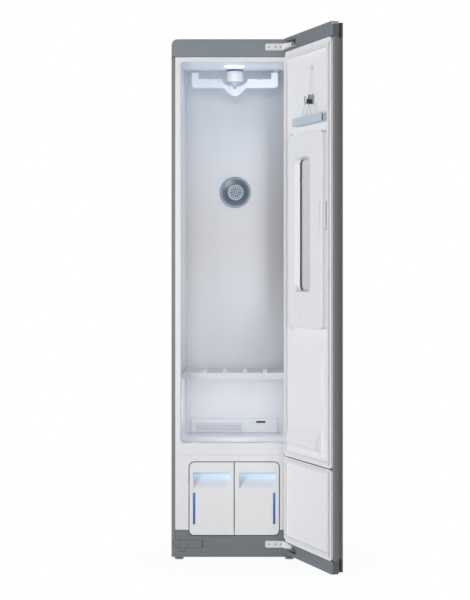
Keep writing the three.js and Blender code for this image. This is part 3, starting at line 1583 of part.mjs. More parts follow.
function pressCover() {
  const back = recessPlane + press.back;
  const face = recessPlane + press.face;
  const section = (inset) => rounded(grown(pressX, -inset), grown(pressZ, -inset), press.corner - inset);
  const round = pressPivot.round;
  const plan = rounded(pressX, [back, face], [play, round, round, press.soft]);
  const outer = prism("y", section(0), back, face).intersect(prism("z", plan, ...pressZ));
  const pocket = carve(
    prism("y", section(press.skin), back - over, face - press.skin),
    fuse(windowLoft(press.skin), pressAxisBlock(back, face), gripBlock(wall, [back, face])),
  );
  const pins = earRanges().map(([low, high], i) =>
    cylinder("z", [...pressAxis, 0], pressPivot.radius, i ? pressZ[1] - over : low, i ? high : pressZ[0] + over, 16),
  );
  return fuse(carve(outer, pocket, windowLoft(0), gripBlock(0, [back - over, face + over])), ...pins);
}

function pressAxisBlock(back, face) {
  return block([pressX[1] - pressPivot.solid, pressX[1]], [back, face], pressZ);
}

function gripBlock(grow, y) {
  return block(grown(gripX, grow), y, grown(gripZ, grow));
}

function pressLatch() {
  const face = recessPlane + press.face;
  const x = [gripX[0] + seat, gripX[0] + seat + grip.tab];
  const z = grown(gripZ, -seat);
  return prism("y", rounded(x, z, grip.soft), face - grip.depth, face + grip.proud);
}

function pressPad() {
  const floor = recessPlane - padPocket.depth + seat;
  const outline = rounded(grown(pocketX, -pad.gap), grown(pocketZ, -pad.gap), padPocket.corner - pad.gap);
  return prism("y", outline, floor, floor + pad.thick);
}

// One half of the clamp: its jaw, and the two stays that gather at a boss in the middle
function clampHalf(y, bossY, bossHeight) {
  const z = clampZ;
  const x = pegX;
  const middle = (y[0] + y[1]) / 2;
  const jaw = prism("y", rounded([x - clamp.half, x + clamp.half], z, clamp.wire, 2), ...y);
  const boss = block([x - bow.boss, x + bow.boss], bossY, [bossZ, bossZ + bossHeight]);
  const stays = [-1, 1].map((side) =>
    wire(
      [
        [x + side * bow.spread, middle, z[1] - over],
        [x + side * bow.waist, middle, (z[1] + bossZ) / 2],
        [x + side * bow.gather, middle, bossZ + over],
      ],
      clamp.wire,
      6,
      6,
    ),
  );
  return fuse(jaw, boss, ...stays);
}

function clampHook(y) {
  const start = bossZ + bow.bossHeight;
  const pegMiddle = recessPlane + (peg.reach - peg.lipThick) / 2;
  const top = pegZ + peg.thick + clamp.wire + seat;
  const side = peg.width;
  return wire(
    [
      [pegX, y, start - over],
      [pegX + side, y, start + peg.reach],
      [pegX + 3 * side, pegMiddle, (start + top) / 2],
      [pegX + 2 * side, pegMiddle, top - peg.lip],
      [pegX + side, pegMiddle, top],
      [pegX - side, pegMiddle, top],
      [pegX - 2 * side, pegMiddle, top - peg.lip],
      [pegX - 3 * side, pegMiddle, top - 2 * peg.lip],
    ],
    clamp.wire,
    24,
    6,
  );
}

function clampClasp(y) {
  return block(
    [pegX - clasp.half, pegX + clasp.half],
    [y + seat, y + seat + clasp.thick],
    [bossZ, bossZ + clasp.height],
  );
}

function addPress() {
  place("press_pad", pressPad(), rubber, door);
  place("press_cover", pressCover(), white, door);
  place("press_latch", pressLatch(), tubWhite, door);
  const back = clampHalf(clampBackY, clampBackY, bow.bossHeight);
  const front = clampHalf(clampFrontY, [clampBackY[1] + seat, clampFrontY[1]], bow.frontBoss);
  place("clamp_back", fuse(back, clampHook((clampBackY[0] + clampBackY[1]) / 2)), jawSilver, door);
  place("clamp_front", front, jawSilver, door);
  place("clamp_clasp", clampClasp(clampFrontY[1]), chrome, door);
}

addCasing();
addTub();
addBackWall();
addDrive();
addTanks();
addMachine();
addHinges();
addDoorShell();
addLiners();
addPress();

door.position.set(pivotX, -pivotDepth, 0);
door.rotation.z = openAngle;
cabinet.add(door);

// The open door reaches furthest at its free edge: its outer corner to the right, its rim forwards
const reachX = pivotX + outerEdge * Math.cos(openAngle) - doorOuter * Math.sin(openAngle);
const reachY = -pivotDepth + freeEdge * Math.sin(openAngle) + doorInner * Math.cos(openAngle);
cabinet.position.set(-(reachX - half) / 2, -(reachY + depth) / 2, 0);

const model = new THREE.Group();
model.add(cabinet);
export default model;
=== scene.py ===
"""Dresses the steam cabinet: soft edges, trims, fasteners and finishes over the fixed frame, and a stage."""

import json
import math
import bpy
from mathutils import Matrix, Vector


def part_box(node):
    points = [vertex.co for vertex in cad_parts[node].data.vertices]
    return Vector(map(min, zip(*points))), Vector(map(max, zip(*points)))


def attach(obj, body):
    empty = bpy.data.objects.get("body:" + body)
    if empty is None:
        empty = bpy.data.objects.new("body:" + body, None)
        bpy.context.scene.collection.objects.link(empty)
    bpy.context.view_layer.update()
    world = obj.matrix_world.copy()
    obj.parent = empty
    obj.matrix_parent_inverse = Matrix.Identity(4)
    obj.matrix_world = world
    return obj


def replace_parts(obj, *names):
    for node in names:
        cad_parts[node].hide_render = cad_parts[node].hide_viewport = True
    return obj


bl_info = {
    "name": "Clothes Care Steam Cabinet",
    "version": (1, 0, 0),
    "blender": (4, 5, 0),
    "location": "3D View > Sidebar > Steam Cabinet",
    "description": "Builds the looks of a clothes care steam cabinet around its measured parts",
    "category": "Add Mesh",
}

import bmesh
import bpy
from mathutils import Color, Matrix, Vector

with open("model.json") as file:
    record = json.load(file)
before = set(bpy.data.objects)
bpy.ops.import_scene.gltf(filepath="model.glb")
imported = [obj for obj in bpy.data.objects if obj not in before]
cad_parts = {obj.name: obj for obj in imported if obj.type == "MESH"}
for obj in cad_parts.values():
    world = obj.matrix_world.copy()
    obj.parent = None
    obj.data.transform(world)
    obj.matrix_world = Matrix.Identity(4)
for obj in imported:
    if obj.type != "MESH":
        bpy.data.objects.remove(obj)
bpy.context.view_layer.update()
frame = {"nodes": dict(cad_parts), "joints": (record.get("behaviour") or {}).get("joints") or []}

BYTE = 255
NODES = frame["nodes"]
JOINTS = {joint["name"]: joint for joint in frame["joints"]}

# The door stands this far open at rest
DOOR_TURN = math.radians(110)

# Maps an outline drawn in x and z, and a depth, to x, y and z
UPRIGHT = Matrix(((1, 0, 0, 0), (0, 0, 1, 0), (0, 1, 0, 0), (0, 0, 0, 1)))

# Length in metres and description
SIZES = {
    "sheet_edge": (0.0015, "Radius of the folded edges of the header"),
    "moulded_edge": (0.002, "Radius of the edges of moulded plastic"),
    "fine_edge": (0.0008, "Radius of the edges of small and thin parts"),
    "trim_edge": (0.0003, "Radius of the edges of the smallest trims"),
    "bar_edge": (0.004, "Radius of the edges of the hanger bar"),
    "screw_radius": (0.0027, "Radius of the screw heads in the hinge plates"),
    "screw_height": (0.0018, "Height of the screw heads"),
    "foot_rim": (0.0012, "Depth of the finger notches round a levelling foot"),
    "gasket_fold": (0.0007, "Depth of the folds in the sides of the door gaskets"),
    "mark_radius": (0.0055, "Radius of the round marks on the display"),
}

# Red, green and blue as the paint looks, each from 0 to 255, and description
COLOURS = {
    "case_grey": (118, 125, 129, "Painted sheet of the casing and the door"),
    "header_grey": (124, 133, 140, "Front strip above the opening"),
    "base_grey": (108, 114, 118, "Front strip below the tanks"),
    # Painted highlight on the rounded top corner of the door's cap at the free edge
    "cap_painted_highlight": (205, 205, 212, "Bright corner of the top cap at the free edge"),
    "frame_white": (233, 234, 236, "Front frame of the tub and the tank surround"),
    "shelf_white": (220, 222, 226, "Slotted shelf"),
    "liner_white": (236, 236, 239, "White inside of the door"),
    # Painted light of the ceiling lamp near the top of the tub, and painted shade at half height
    "tub_high": (217, 223, 231, "Tub near the ceiling lamp"),
    "tub_painted_middle_shade": (196, 196, 199, "Tub at half height"),
    "tub_low": (224, 226, 230, "Tub below the shelf"),
    "bar_white": (222, 229, 236, "Hanger bar"),
    "housing_white": (233, 236, 236, "Drive housing under the ceiling"),
    "lamp_white": (240, 246, 252, "Light of the ceiling lamp"),
    # Painted shade in the grooves and slots of the drive housing, bar and ceiling
    "groove_shade_blue": (78, 100, 142, "Dark grooves of the drive housing, bar and ceiling"),
    "cone_blue": (186, 204, 226, "Turning cone under the drive housing"),
    "ring_blue": (8, 100, 146, "Outer ring of the air vent"),
    "ring_cyan": (52, 142, 168, "Inner ring of the air vent"),
    "vent_metal": (116, 110, 111, "Turned metal dish of the air vent"),
    # Painted highlight streaked across the turned dish
    "vent_painted_highlight": (182, 176, 171, "Bright streak across the turned dish"),
    "grille_grey": (160, 161, 170, "Round grille in the middle of the vent"),
    "window_grey": (208, 210, 218, "Mesh window of the lint filter"),
    "seam_grey": (130, 133, 140, "Thin dark joints between white parts"),
    "tank_white": (234, 235, 236, "Fronts of the tanks"),
    "scoop_cyan": (60, 190, 228, "Lit line at the outer end of the tank scoops"),
    "scoop_pale": (172, 219, 228, "Lit line at the inner end of the tank scoops"),
    # Painted light of the lit line on the scoops' slope: a glow under the line, fading out at the slope's
    # foot
    "scoop_painted_glow": (208, 232, 244, "Glow under the lit line of the tank scoops"),
    "scoop_slope_painted_light": (226, 229, 242, "Foot of the slope of the tank scoops"),
    "level_high": (50, 138, 204, "Top of the level windows"),
    "level_low": (60, 108, 188, "Foot of the level windows"),
    "hinge_cream": (228, 228, 225, "Paint of the hinge plates"),
    "hinge_white": (228, 229, 235, "Plastic covers of the hinge arms"),
    "bright_metal": (200, 202, 205, "Chrome and bare metal"),
    # Painted shade along the lower edge of the front strip
    "shade_grey": (86, 91, 96, "Dark seam under the front strip"),
    "cap_grey": (101, 108, 115, "Plastic caps at both ends of the door"),
    "rail_grey": (172, 181, 186, "Finger groove of the handle rail"),
    "edge_metal": (120, 122, 122, "Metal rim of the door"),
    "rubber_grey": (226, 226, 227, "Door gaskets"),
    "felt_grey": (206, 207, 208, "Pad of the trouser press"),
    "clamp_silver": (200, 211, 222, "Jaws of the trouser clamp"),
    # Own black of the motor, compressor, fan wheel and clamp boss; also painted shade in slots, joints and
    # hollows
    "drive_black": (40, 42, 46, "Motor, compressor, fan wheel and dark gaps"),
    "foot_grey": (150, 162, 172, "Levelling feet"),
    "board_green": (46, 110, 76, "Circuit board"),
    "foam_cream": (240, 239, 235, "Hard foam"),
    # Dark glass of the display; also painted shade in deep gaps and hollows
    "glass_black": (22, 24, 27, "Dark glass of the display, and deep gaps"),
    "mark_blue": (150, 205, 230, "Plain marks on the display"),
    "floor_white": (246, 246, 247, "Plain floor of the stage"),
}

# Value, description and unit
STAGE = {
    "camera_x": (-0.0074, "Sideways place of the camera"),
    "camera_y": (-5.7402, "Place of the camera in front of the cabinet"),
    "camera_z": (1.024, "Height of the camera"),
    "lens": (96.4, "Focal length in millimetres", "CAMERA"),
    "shift_across": (-0.0283, "Sideways shift of the lens as a share of the frame", "NONE"),
    "shift_up": (-0.0467, "Upward shift of the lens as a share of the frame", "NONE"),
    "room_light": (0.07, "Strength of the even light from all sides", "NONE"),
    "front_light": (87, "Power of the large soft lamp behind the camera", "POWER"),
    "side_light": (112, "Power of the soft lamp at the left", "POWER"),
    "tub_light": (1.9, "Power of the bluish light inside the tub", "POWER"),
}


def label_of(key):
    """Name in the sidebar of a value that the user can change."""
    return key.replace("_", " ").capitalize()


def number_choice(key, default, description, unit="LENGTH"):
    """A number that the user can change in the sidebar, a length where no other unit is given."""
    return bpy.props.FloatProperty(
        name=label_of(key), description=description, default=default, unit=unit, precision=4
    )


def colour_choice(key, red, green, blue, description):
    """A colour that the user can change in the sidebar, given as it looks."""
    linear = Color((red / BYTE, green / BYTE, blue / BYTE)).from_srgb_to_scene_linear()
    return bpy.props.FloatVectorProperty(
        name=label_of(key), description=description, default=linear, subtype="COLOR", size=3, min=0, max=1
    )


class CabinetSizes(bpy.types.PropertyGroup):
    """Sizes of the soft edges, trims and fasteners."""

    __annotations__ = {key: number_choice(key, *row) for key, row in SIZES.items()}


class CabinetColours(bpy.types.PropertyGroup):
    """Paints and plastics of the cabinet."""

    __annotations__ = {key: colour_choice(key, *row) for key, row in COLOURS.items()}


class CabinetStage(bpy.types.PropertyGroup):
    """Camera and light of the stage."""

    __annotations__ = {key: number_choice(key, *row) for key, row in STAGE.items()}


def sizes():
    return bpy.context.scene.cabinet_sizes


def colour(key):
    """A paint by its key in COLOURS, as the user has set it."""
    return getattr(bpy.context.scene.cabinet_colours, key)


# Places

def door_pivot():
    pivot = Vector(JOINTS["door_swing"]["pos_m"])
    return Vector((pivot.x, pivot.y, 0))


def door_place():
    """Place of a point that is given from the door's pivot with the door closed, free edge towards -x."""
    return Matrix.Translation(door_pivot()) @ Matrix.Rotation(DOOR_TURN, 4, "Z")


def door_box(name):
    """Lowest and highest corner of a part of the door, seen from its pivot with the door closed."""
    back = door_place().inverted()
    points = [back @ vertex.co for vertex in NODES[name].data.vertices]
    return [Vector([pick(point[axis] for point in points) for axis in range(3)]) for pick in (min, max)]


def middle_of(low, high):
    return (low + high) / 2


def facing(place):
    """Turns a form so that its height runs towards the front."""
    return Matrix.Translation(place) @ Matrix.Rotation(math.pi / 2, 4, "X")


# Shader nodes

WHITE = (1, 1, 1, 1)
UNLIT = (0, 0, 0)
PLAIN_GREY = (0.8, 0.8, 0.8, 1)
SOCKET_KINDS = {3: "Vector", 4: "Color"}
ACROSS_FRONT = (1, 0, 1)
HALF = 0.5
# Sockets of a Mix node that hold colours
MIX_FIRST = 6
MIX_SECOND = 7
MIX_RESULT = 2
SMEAR_DENSITY = 5.0
CLOUD_DETAIL = 2.0
GRAIN_DETAIL = 3.0
LINE_DETAIL = 4.0
LINE_DEPTH = 0.00003
PATCH_SOFTNESS = 0.0004
RIM_SOFTNESS = 0.001


def set_inputs(tree, made, values):
    """Links the inputs of a node from sockets or sets them to values."""
    for key, value in values.items():
        if isinstance(value, bpy.types.NodeSocket):
            tree.links.new(value, made.inputs[key])
        else:
            made.inputs[key].default_value = value
    return made


def add_node(tree, kind, inputs, **settings):
    made = tree.nodes.new("ShaderNode" + kind)
    for key, value in settings.items():
        setattr(made, key, value)
    return set_inputs(tree, made, inputs)


def new_group(name, inputs):
    """An empty shader node group whose input sockets start at the given values."""
    tree = bpy.data.node_groups.new(name, "ShaderNodeTree")
    for label, default in inputs.items():
        kind = "Float" if isinstance(default, float) else SOCKET_KINDS[len(default)]
        socket = tree.interface.new_socket(label, in_out="INPUT", socket_type="NodeSocket" + kind)
        socket.default_value = default
    return tree, tree.nodes.new("NodeGroupInput").outputs


def lead_out(tree, values):
    """Leads sockets out of a shader node group, each under its label."""
    for label in values:
        kind = "Color" if label == "Color" else "Float"
        tree.interface.new_socket(label, in_out="OUTPUT", socket_type="NodeSocket" + kind)
    set_inputs(tree, tree.nodes.new("NodeGroupOutput"), values)
    return tree


def object_place(tree):
    return add_node(tree, "TexCoord", {}).outputs["Object"]


def noise(tree, place, scale, detail=CLOUD_DETAIL):
    return add_node(tree, "TexNoise", {"Vector": place, "Scale": scale, "Detail": detail}).outputs["Fac"]


def math_node(tree, operation, *values, clamp=False):
    return add_node(tree, "Math", dict(enumerate(values)), operation=operation, use_clamp=clamp).outputs[0]


def vector_node(tree, operation, *values, output=0):
    return add_node(tree, "VectorMath", dict(enumerate(values)), operation=operation).outputs[output]


def spread_about(tree, value, spread, middle):
    """middle plus spread times how far the noise value stands from its own middle."""
    return math_node(tree, "MULTIPLY_ADD", math_node(tree, "SUBTRACT", value, HALF), spread, middle)


def toned(tree, paint, value, spread):
    """A colour whose brightness follows a noise value."""
    inputs = {"Color": paint, "Value": spread_about(tree, value, spread, 1.0)}
    return add_node(tree, "HueSaturation", inputs).outputs["Color"]


def opaque(rgb):
    return (*rgb[:3], 1)


def mixed_colour(tree, share, first, second):
    """Colour between two colours or sockets."""
    ends = [value if isinstance(value, bpy.types.NodeSocket) else opaque(value) for value in (first, second)]
    inputs = {0: share, MIX_FIRST: ends[0], MIX_SECOND: ends[1]}
    return add_node(tree, "Mix", inputs, data_type="RGBA").outputs[MIX_RESULT]


def moulded_skin(name):
    """Slight mottling, uneven gloss and fine grain of a moulded or painted skin."""
    tree, given = new_group(name, {
        "Color": PLAIN_GREY,
        "Mottle": 0.04,
        "Mottle Scale": 6.0,
        "Roughness": 0.4,
        "Roughness Spread": 0.1,
        "Grain Scale": 900.0,
    })
    place = object_place(tree)
    cloud = noise(tree, place, given["Mottle Scale"])
    smears = noise(tree, place, math_node(tree, "MULTIPLY", given["Mottle Scale"], SMEAR_DENSITY))
    return lead_out(tree, {
        "Color": toned(tree, given["Color"], cloud, given["Mottle"]),
        "Roughness": spread_about(tree, smears, given["Roughness Spread"], given["Roughness"]),
        "Height": noise(tree, place, given["Grain Scale"], GRAIN_DETAIL),
    })


def height_fade(name):
    """Three colours that fade into each other between three heights."""
    colours = {"Low Color": PLAIN_GREY, "Middle Color": PLAIN_GREY, "High Color": PLAIN_GREY}
    tree, given = new_group(name, {**colours, "Low": 0.0, "Middle": 0.5, "High": 1.0})
    height = add_node(tree, "SeparateXYZ", {"Vector": object_place(tree)}).outputs["Z"]
    faded = given["Low Color"]
    for low, high in (("Low", "Middle"), ("Middle", "High")):
        inputs = {"Value": height, "From Min": given[low], "From Max": given[high]}
        share = add_node(tree, "MapRange", inputs, interpolation_type="SMOOTHSTEP").outputs["Result"]
        faded = mixed_colour(tree, share, faded, given[high + " Color"])
    return lead_out(tree, {"Color": faded})


def brushed_lines(name):
    """Fine lines of brushed or rolled metal, drawn out along the axis with the smallest stretch."""
    tree, given = new_group(name, {
        "Color": PLAIN_GREY,
        "Stretch": (600.0, 600.0, 8.0),
        "Contrast": 0.12,
        "Roughness": 0.3,
    })
    place = vector_node(tree, "MULTIPLY", object_place(tree), given["Stretch"])
    lines = noise(tree, place, 1.0, LINE_DETAIL)
    return lead_out(tree, {
        "Color": toned(tree, given["Color"], lines, given["Contrast"]),
        "Roughness": spread_about(tree, lines, given["Contrast"], given["Roughness"]),
        "Height": lines,
    })


def box_mask(name):
    """1 inside a box and 0 outside it, with soft sides. The box may be turned about an upright axis."""
    tree, given = new_group(name, {
        "Pivot": (0, 0, 0),
        "Turn": 0.0,
        "Low": (0, 0, 0),
        "High": (1, 1, 1),
        "Softness": RIM_SOFTNESS,
    })
    inputs = {"Vector": object_place(tree), "Center": given["Pivot"], "Angle": given["Turn"]}
    turned = add_node(tree, "VectorRotate", inputs, rotation_type="Z_AXIS").outputs[0]
    local = vector_node(tree, "SUBTRACT", turned, given["Pivot"])
    above = vector_node(tree, "SUBTRACT", local, given["Low"])
    below = vector_node(tree, "SUBTRACT", given["High"], local)
    parts = add_node(tree, "SeparateXYZ", {"Vector": vector_node(tree, "MINIMUM", above, below)}).outputs
    inside = math_node(tree, "MINIMUM", math_node(tree, "MINIMUM", parts["X"], parts["Y"]), parts["Z"])
    share = math_node(tree, "DIVIDE", inside, given["Softness"])
    return lead_out(tree, {"Mask": math_node(tree, "ADD", share, HALF, clamp=True)})


def round_sheen(name):
    """Masks of a turned disc that faces the front: its middle, and a painted highlight streaked across it."""
    tree, given = new_group(name, {
        "Centre": (0, 0, 0),
        "Radius": 0.02,
        "Direction": (0, 0, 1),
        "Sharpness": 6.0,
    })
    from_centre = vector_node(tree, "SUBTRACT", object_place(tree), given["Centre"])
    flat = vector_node(tree, "MULTIPLY", from_centre, ACROSS_FRONT)
    reach = vector_node(tree, "LENGTH", flat, output="Value")
    depth = math_node(tree, "DIVIDE", math_node(tree, "SUBTRACT", given["Radius"], reach), RIM_SOFTNESS)
    unit = vector_node(tree, "NORMALIZE", flat)
    along = vector_node(tree, "DOT_PRODUCT", unit, given["Direction"], output="Value")
    ahead = math_node(tree, "MAXIMUM", along, 0.0)
    return lead_out(tree, {
        "Middle": math_node(tree, "ADD", depth, HALF, clamp=True),
        "Streak": math_node(tree, "POWER", ahead, given["Sharpness"]),
    })


GROUPS = {
    "Moulded Skin": moulded_skin,
    "Height Fade": height_fade,
    "Brushed Lines": brushed_lines,
    "Box Mask": box_mask,
    "Round Sheen": round_sheen,
}


def placed_group(tree, name, values):
    """Sockets of a node of that group, which is built the first time, with its inputs set."""
    made = tree.nodes.new("ShaderNodeGroup")
    made.node_tree = bpy.data.node_groups.get(name) or GROUPS[name](name)
    return set_inputs(tree, made, values).outputs


# Finishes

# Mottling, depth and density of the grain, coat and metalness of a plain skin
PLAIN_SKIN = {"mottle": 0.03, "grain": 0.00004, "grain_scale": 900.0, "coat": 0.0, "metallic": 0.0}
FOAM = {"mottle": 0.1, "grain": 0.0004, "grain_scale": 300.0}
SILVER = {"metallic": 0.25}

# Paint and roughness of the moulded and painted finishes, and what differs from a plain skin
SKINS = {
    "Casing paint": ("case_grey", 0.42, {"grain": 0.00005}),
    "Header plastic": ("header_grey", 0.45),
    "Base plastic": ("base_grey", 0.5),
    "Front plastic": ("frame_white", 0.32),
    "Foot plastic": ("foot_grey", 0.3, {"mottle": 0.1, "metallic": 0.4}),
    "Tub plastic": ("frame_white", 0.34),
    # The ceiling panel is painted with the ceiling lamp's light
    "Ceiling plastic": ("tub_high", 0.34),
    "Hard foam": ("foam_cream", 0.8, FOAM),
    "Vent blue": ("ring_blue", 0.25, {"coat": 0.4}),
    "Vent cyan": ("ring_cyan", 0.25, {"coat": 0.4}),
    # Dark inlays painted as shade in the grille's slots and holes
    "Vent slots": ("drive_black", 0.5),
    "Intake plastic": ("tub_low", 0.4),
    "Nozzle plastic": ("tub_low", 0.4),
    "Filter plastic": ("tub_low", 0.45),
    "Lint mesh": ("window_grey", 0.8, {"mottle": 0.08, "grain": 0.0003, "grain_scale": 2500.0}),
    "Shelf plastic": ("shelf_white", 0.4),
    "Housing white": ("housing_white", 0.3),
    "Bar plastic": ("bar_white", 0.3),
    "Cone plastic": ("cone_blue", 0.35),
    "Drive plastic": ("drive_black", 0.5),
    "Bay plastic": ("frame_white", 0.5),
    "Level plastic": ("level_low", 0.2),
    "Lit drain_tank_front": ("tank_white", 0.35),
    "Lit water_tank_front": ("tank_white", 0.35),
    "Machine black": ("drive_black", 0.5),
    "Housing plastic": ("base_grey", 0.55),
    "Circuit board": ("board_green", 0.45, {"mottle": 0.15}),
    "Hinge paint": ("hinge_cream", 0.35),
    "Hinge cover": ("hinge_white", 0.35),
    # Painted shade of the hinge pockets behind and above the door brackets
    "Bracket black": ("drive_black", 0.4),
    "Door paint": ("case_grey", 0.38, {"coat": 0.3}),
    "Cap plastic": ("cap_grey", 0.5),
    "Handle rail": ("rail_grey", 0.4, {"metallic": 0.2}),
    "Display glass": ("glass_black", 0.08, {"grain": 0.0, "coat": 1.0}),
    "Door foam": ("foam_cream", 0.8, FOAM),
    "Liner plastic": ("liner_white", 0.55),
    "Gasket rubber": ("rubber_grey", 0.7),
    "Press plastic": ("frame_white", 0.3),
    "Latch plastic": ("frame_white", 0.3),
    "Press felt": ("felt_grey", 0.9, {"mottle": 0.06, "grain": 0.0004, "grain_scale": 1500.0}),
    "Silver clamp_back": ("clamp_silver", 0.3, SILVER),
    "Silver clamp_front": ("clamp_silver", 0.3, SILVER),
}

# Paint, stretch of the lines, roughness, contrast and metalness of the brushed finishes
BRUSHED = {
    "Galvanised sheet": ("bright_metal", (60, 60, 60), 0.45, 0.2, 1.0),
    "Turned dish": ("vent_metal", (240, 240, 240), 0.38, 0.12, 0.35),
    "Rail sheet": ("bright_metal", (60, 60, 60), 0.45, 0.2, 1.0),
    "Fin sheet": ("bright_metal", (40, 40, 900), 0.35, 0.25, 1.0),
    "Screw metal": ("bright_metal", (900, 900, 900), 0.25, 0.12, 1.0),
    "Dull screw metal": ("seam_grey", (900, 900, 900), 0.35, 0.12, 1.0),
    "Edge frame": ("edge_metal", (500, 500, 4), 0.45, 0.12, 0.3),
    "Clasp chrome": ("bright_metal", (600, 600, 600), 0.12, 0.05, 1.0),
}

# Paint and strength of the lenses that give off light
LENSES = {
    "Lamp lens": ("lamp_white", 0.3),
    "Display marks": ("mark_blue", 0.6),
}
LENS_ROUGHNESS = 0.3
LENS_CLOUD = {"Mottle": 0.1, "Mottle Scale": 30.0}


def blank_material(name):
    material = bpy.data.materials.new(name)
    material.use_nodes = True
    return material, material.node_tree, material.node_tree.nodes["Principled BSDF"]


def add_surface(tree, shader, given, depth):
    """Leads a group's colour, roughness and height into a shader."""
    bump = add_node(tree, "Bump", {"Height": given["Height"], "Distance": depth}).outputs["Normal"]
    surface = {"Base Color": given["Color"], "Roughness": given["Roughness"], "Normal": bump}
    set_inputs(tree, shader, surface)


def skin_material(name, paint, roughness, changes=None):
    """Painted or moulded finish from the Moulded Skin group."""
    material, tree, shader = blank_material(name)
    own = {**PLAIN_SKIN, **(changes or {})}
    values = {"Color": opaque(colour(paint)), "Roughness": roughness}
    values.update({"Mottle": own["mottle"], "Grain Scale": own["grain_scale"]})
    add_surface(tree, shader, placed_group(tree, "Moulded Skin", values), own["grain"])
    set_inputs(tree, shader, {"Coat Weight": own["coat"], "Metallic": own["metallic"]})
    return material


def brushed_material(name, paint, stretch, roughness, contrast, metallic):
    """Bare or bright metal from the Brushed Lines group."""
    material, tree, shader = blank_material(name)
    values = {"Color": opaque(colour(paint)), "Stretch": stretch}
    values.update({"Contrast": contrast, "Roughness": roughness})
    add_surface(tree, shader, placed_group(tree, "Brushed Lines", values), LINE_DEPTH)
    shader.inputs["Metallic"].default_value = metallic
    return material


def lens_material(name, paint, strength):
    """Milky lens that gives off light, a little uneven over its face."""
    material, tree, shader = blank_material(name)
    milky = placed_group(tree, "Moulded Skin", {"Color": opaque(colour(paint)), **LENS_CLOUD})["Color"]
    set_inputs(tree, shader, {"Base Color": milky, "Emission Color": milky, "Emission Strength": strength})
    shader.inputs["Roughness"].default_value = LENS_ROUGHNESS
    return material


def finish(name):
    """The material of that name, made the first time after its row in the tables."""
    made = bpy.data.materials.get(name)
    for table, make in ((SKINS, skin_material), (BRUSHED, brushed_material), (LENSES, lens_material)):
        if not made and name in table:
            made = make(name, *table[name])
    return made


def colour_input(material):
    """The colour input of the group that a finish is made from."""
    return material.node_tree.nodes["Principled BSDF"].inputs["Base Color"].links[0].from_node.inputs["Color"]


def add_patch(name, paint, low, high, softness=PATCH_SOFTNESS, on_door=False, fade=None):
    """Paints a box-shaped part of a finish. Between the two places along x in fade, the paint comes in."""
    material = finish(name)
    tree = material.node_tree
    values = {"Low": low, "High": high, "Softness": softness}
    if on_door:
        values.update({"Pivot": door_pivot(), "Turn": -DOOR_TURN})
    share = placed_group(tree, "Box Mask", values)["Mask"]
    if fade:
        along = add_node(tree, "SeparateXYZ", {"Vector": object_place(tree)}).outputs["X"]
        ramp = add_node(tree, "MapRange", {"Value": along, "From Min": fade[0], "From Max": fade[1]})
        share = math_node(tree, "MULTIPLY", share, ramp.outputs["Result"])
    painted = colour_input(material)
    before = painted.links[0].from_socket if painted.is_linked else painted.default_value
    after = colour(paint) if isinstance(paint, str) else paint
    tree.links.new(mixed_colour(tree, share, before, after), painted)


def add_glow(name, paint, low, high, softness, strength):
    """Lets a box-shaped part of a finish give off light."""
    tree = finish(name).node_tree
    share = placed_group(tree, "Box Mask", {"Low": low, "High": high, "Softness": softness})["Mask"]
    light = mixed_colour(tree, share, UNLIT, colour(paint))
    set_inputs(tree, tree.nodes["Principled BSDF"], {"Emission Color": light, "Emission Strength": strength})


def fade_with_height(name, paints, heights):
    """Colour socket in a finish that fades with height between three paints."""
    values = {}
    for label, paint, height in zip(("Low", "Middle", "High"), paints, heights):
        values.update({label: height, label + " Color": opaque(colour(paint))})
    return placed_group(finish(name).node_tree, "Height Fade", values)["Color"]


# Meshes

CORNER_ANGLE = math.radians(35)
EDGE_ANGLE = math.radians(30)
FLAT_ANGLE = math.radians(1)
WELD_REACH = 0.00001
CORNER_STEPS = 6
SEGMENTS = 2
# Segments of the rounded edges of the parts that don't have two
OTHER_SEGMENTS = {"cavity_liner": 3, "hanger_bar": 3, "press_cover": 3, "lint_filter": 1}


def coat_mesh(mesh, material):
    mesh.materials.clear()
    mesh.materials.append(material)
    for polygon in mesh.polygons:
        polygon.use_smooth = True


def bevel_edges(part, edge, segments):
    bevel = part.modifiers.new("Soft edges", "BEVEL")
    bevel.width = getattr(sizes(), edge)
    bevel.segments = segments
    bevel.limit_method = "ANGLE"
    bevel.angle_limit = EDGE_ANGLE
    bevel.use_clamp_overlap = True
    part.modifiers.new("Even shading", "WEIGHTED_NORMAL").keep_sharp = True


def split_corners(part):
    split = part.modifiers.new("Corners", "EDGE_SPLIT")
    split.split_angle = CORNER_ANGLE
    split.use_edge_sharp = False
    part.modifiers.new("Even shading", "WEIGHTED_NORMAL")


def dress(finish_name, edge, *names):
    """Gives measured parts a finish, and soft edges where edge names their size. Their meshes stay put."""
    for name in names:
        part = NODES[name]
        coat_mesh(part.data, finish(finish_name))
        part.modifiers.new("Weld", "WELD").merge_threshold = WELD_REACH
        if edge:
            dissolve = part.modifiers.new("Plain faces", "DECIMATE")
            dissolve.decimate_type = "DISSOLVE"
            dissolve.angle_limit = FLAT_ANGLE
            bevel_edges(part, edge, OTHER_SEGMENTS.get(name, SEGMENTS))
        else:
            split_corners(part)


def mesh_piece(name, forms, body, finish_name, edge=None, closed=False):
    """Turns forms, each a list of rings, into a piece that rides on a body."""
    maker = bmesh.new()
    for rings in forms:
        add_rings(maker, rings, closed)
    mesh = bpy.data.meshes.new(name)
    bmesh.ops.recalc_face_normals(maker, faces=maker.faces)
    maker.to_mesh(mesh)
    maker.free()
    coat_mesh(mesh, finish(finish_name))
    piece = bpy.data.objects.new(name, mesh)
    bpy.context.scene.collection.objects.link(piece)
    if edge:
        bevel_edges(piece, edge, SEGMENTS)
    else:
        split_corners(piece)
    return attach(piece, body)


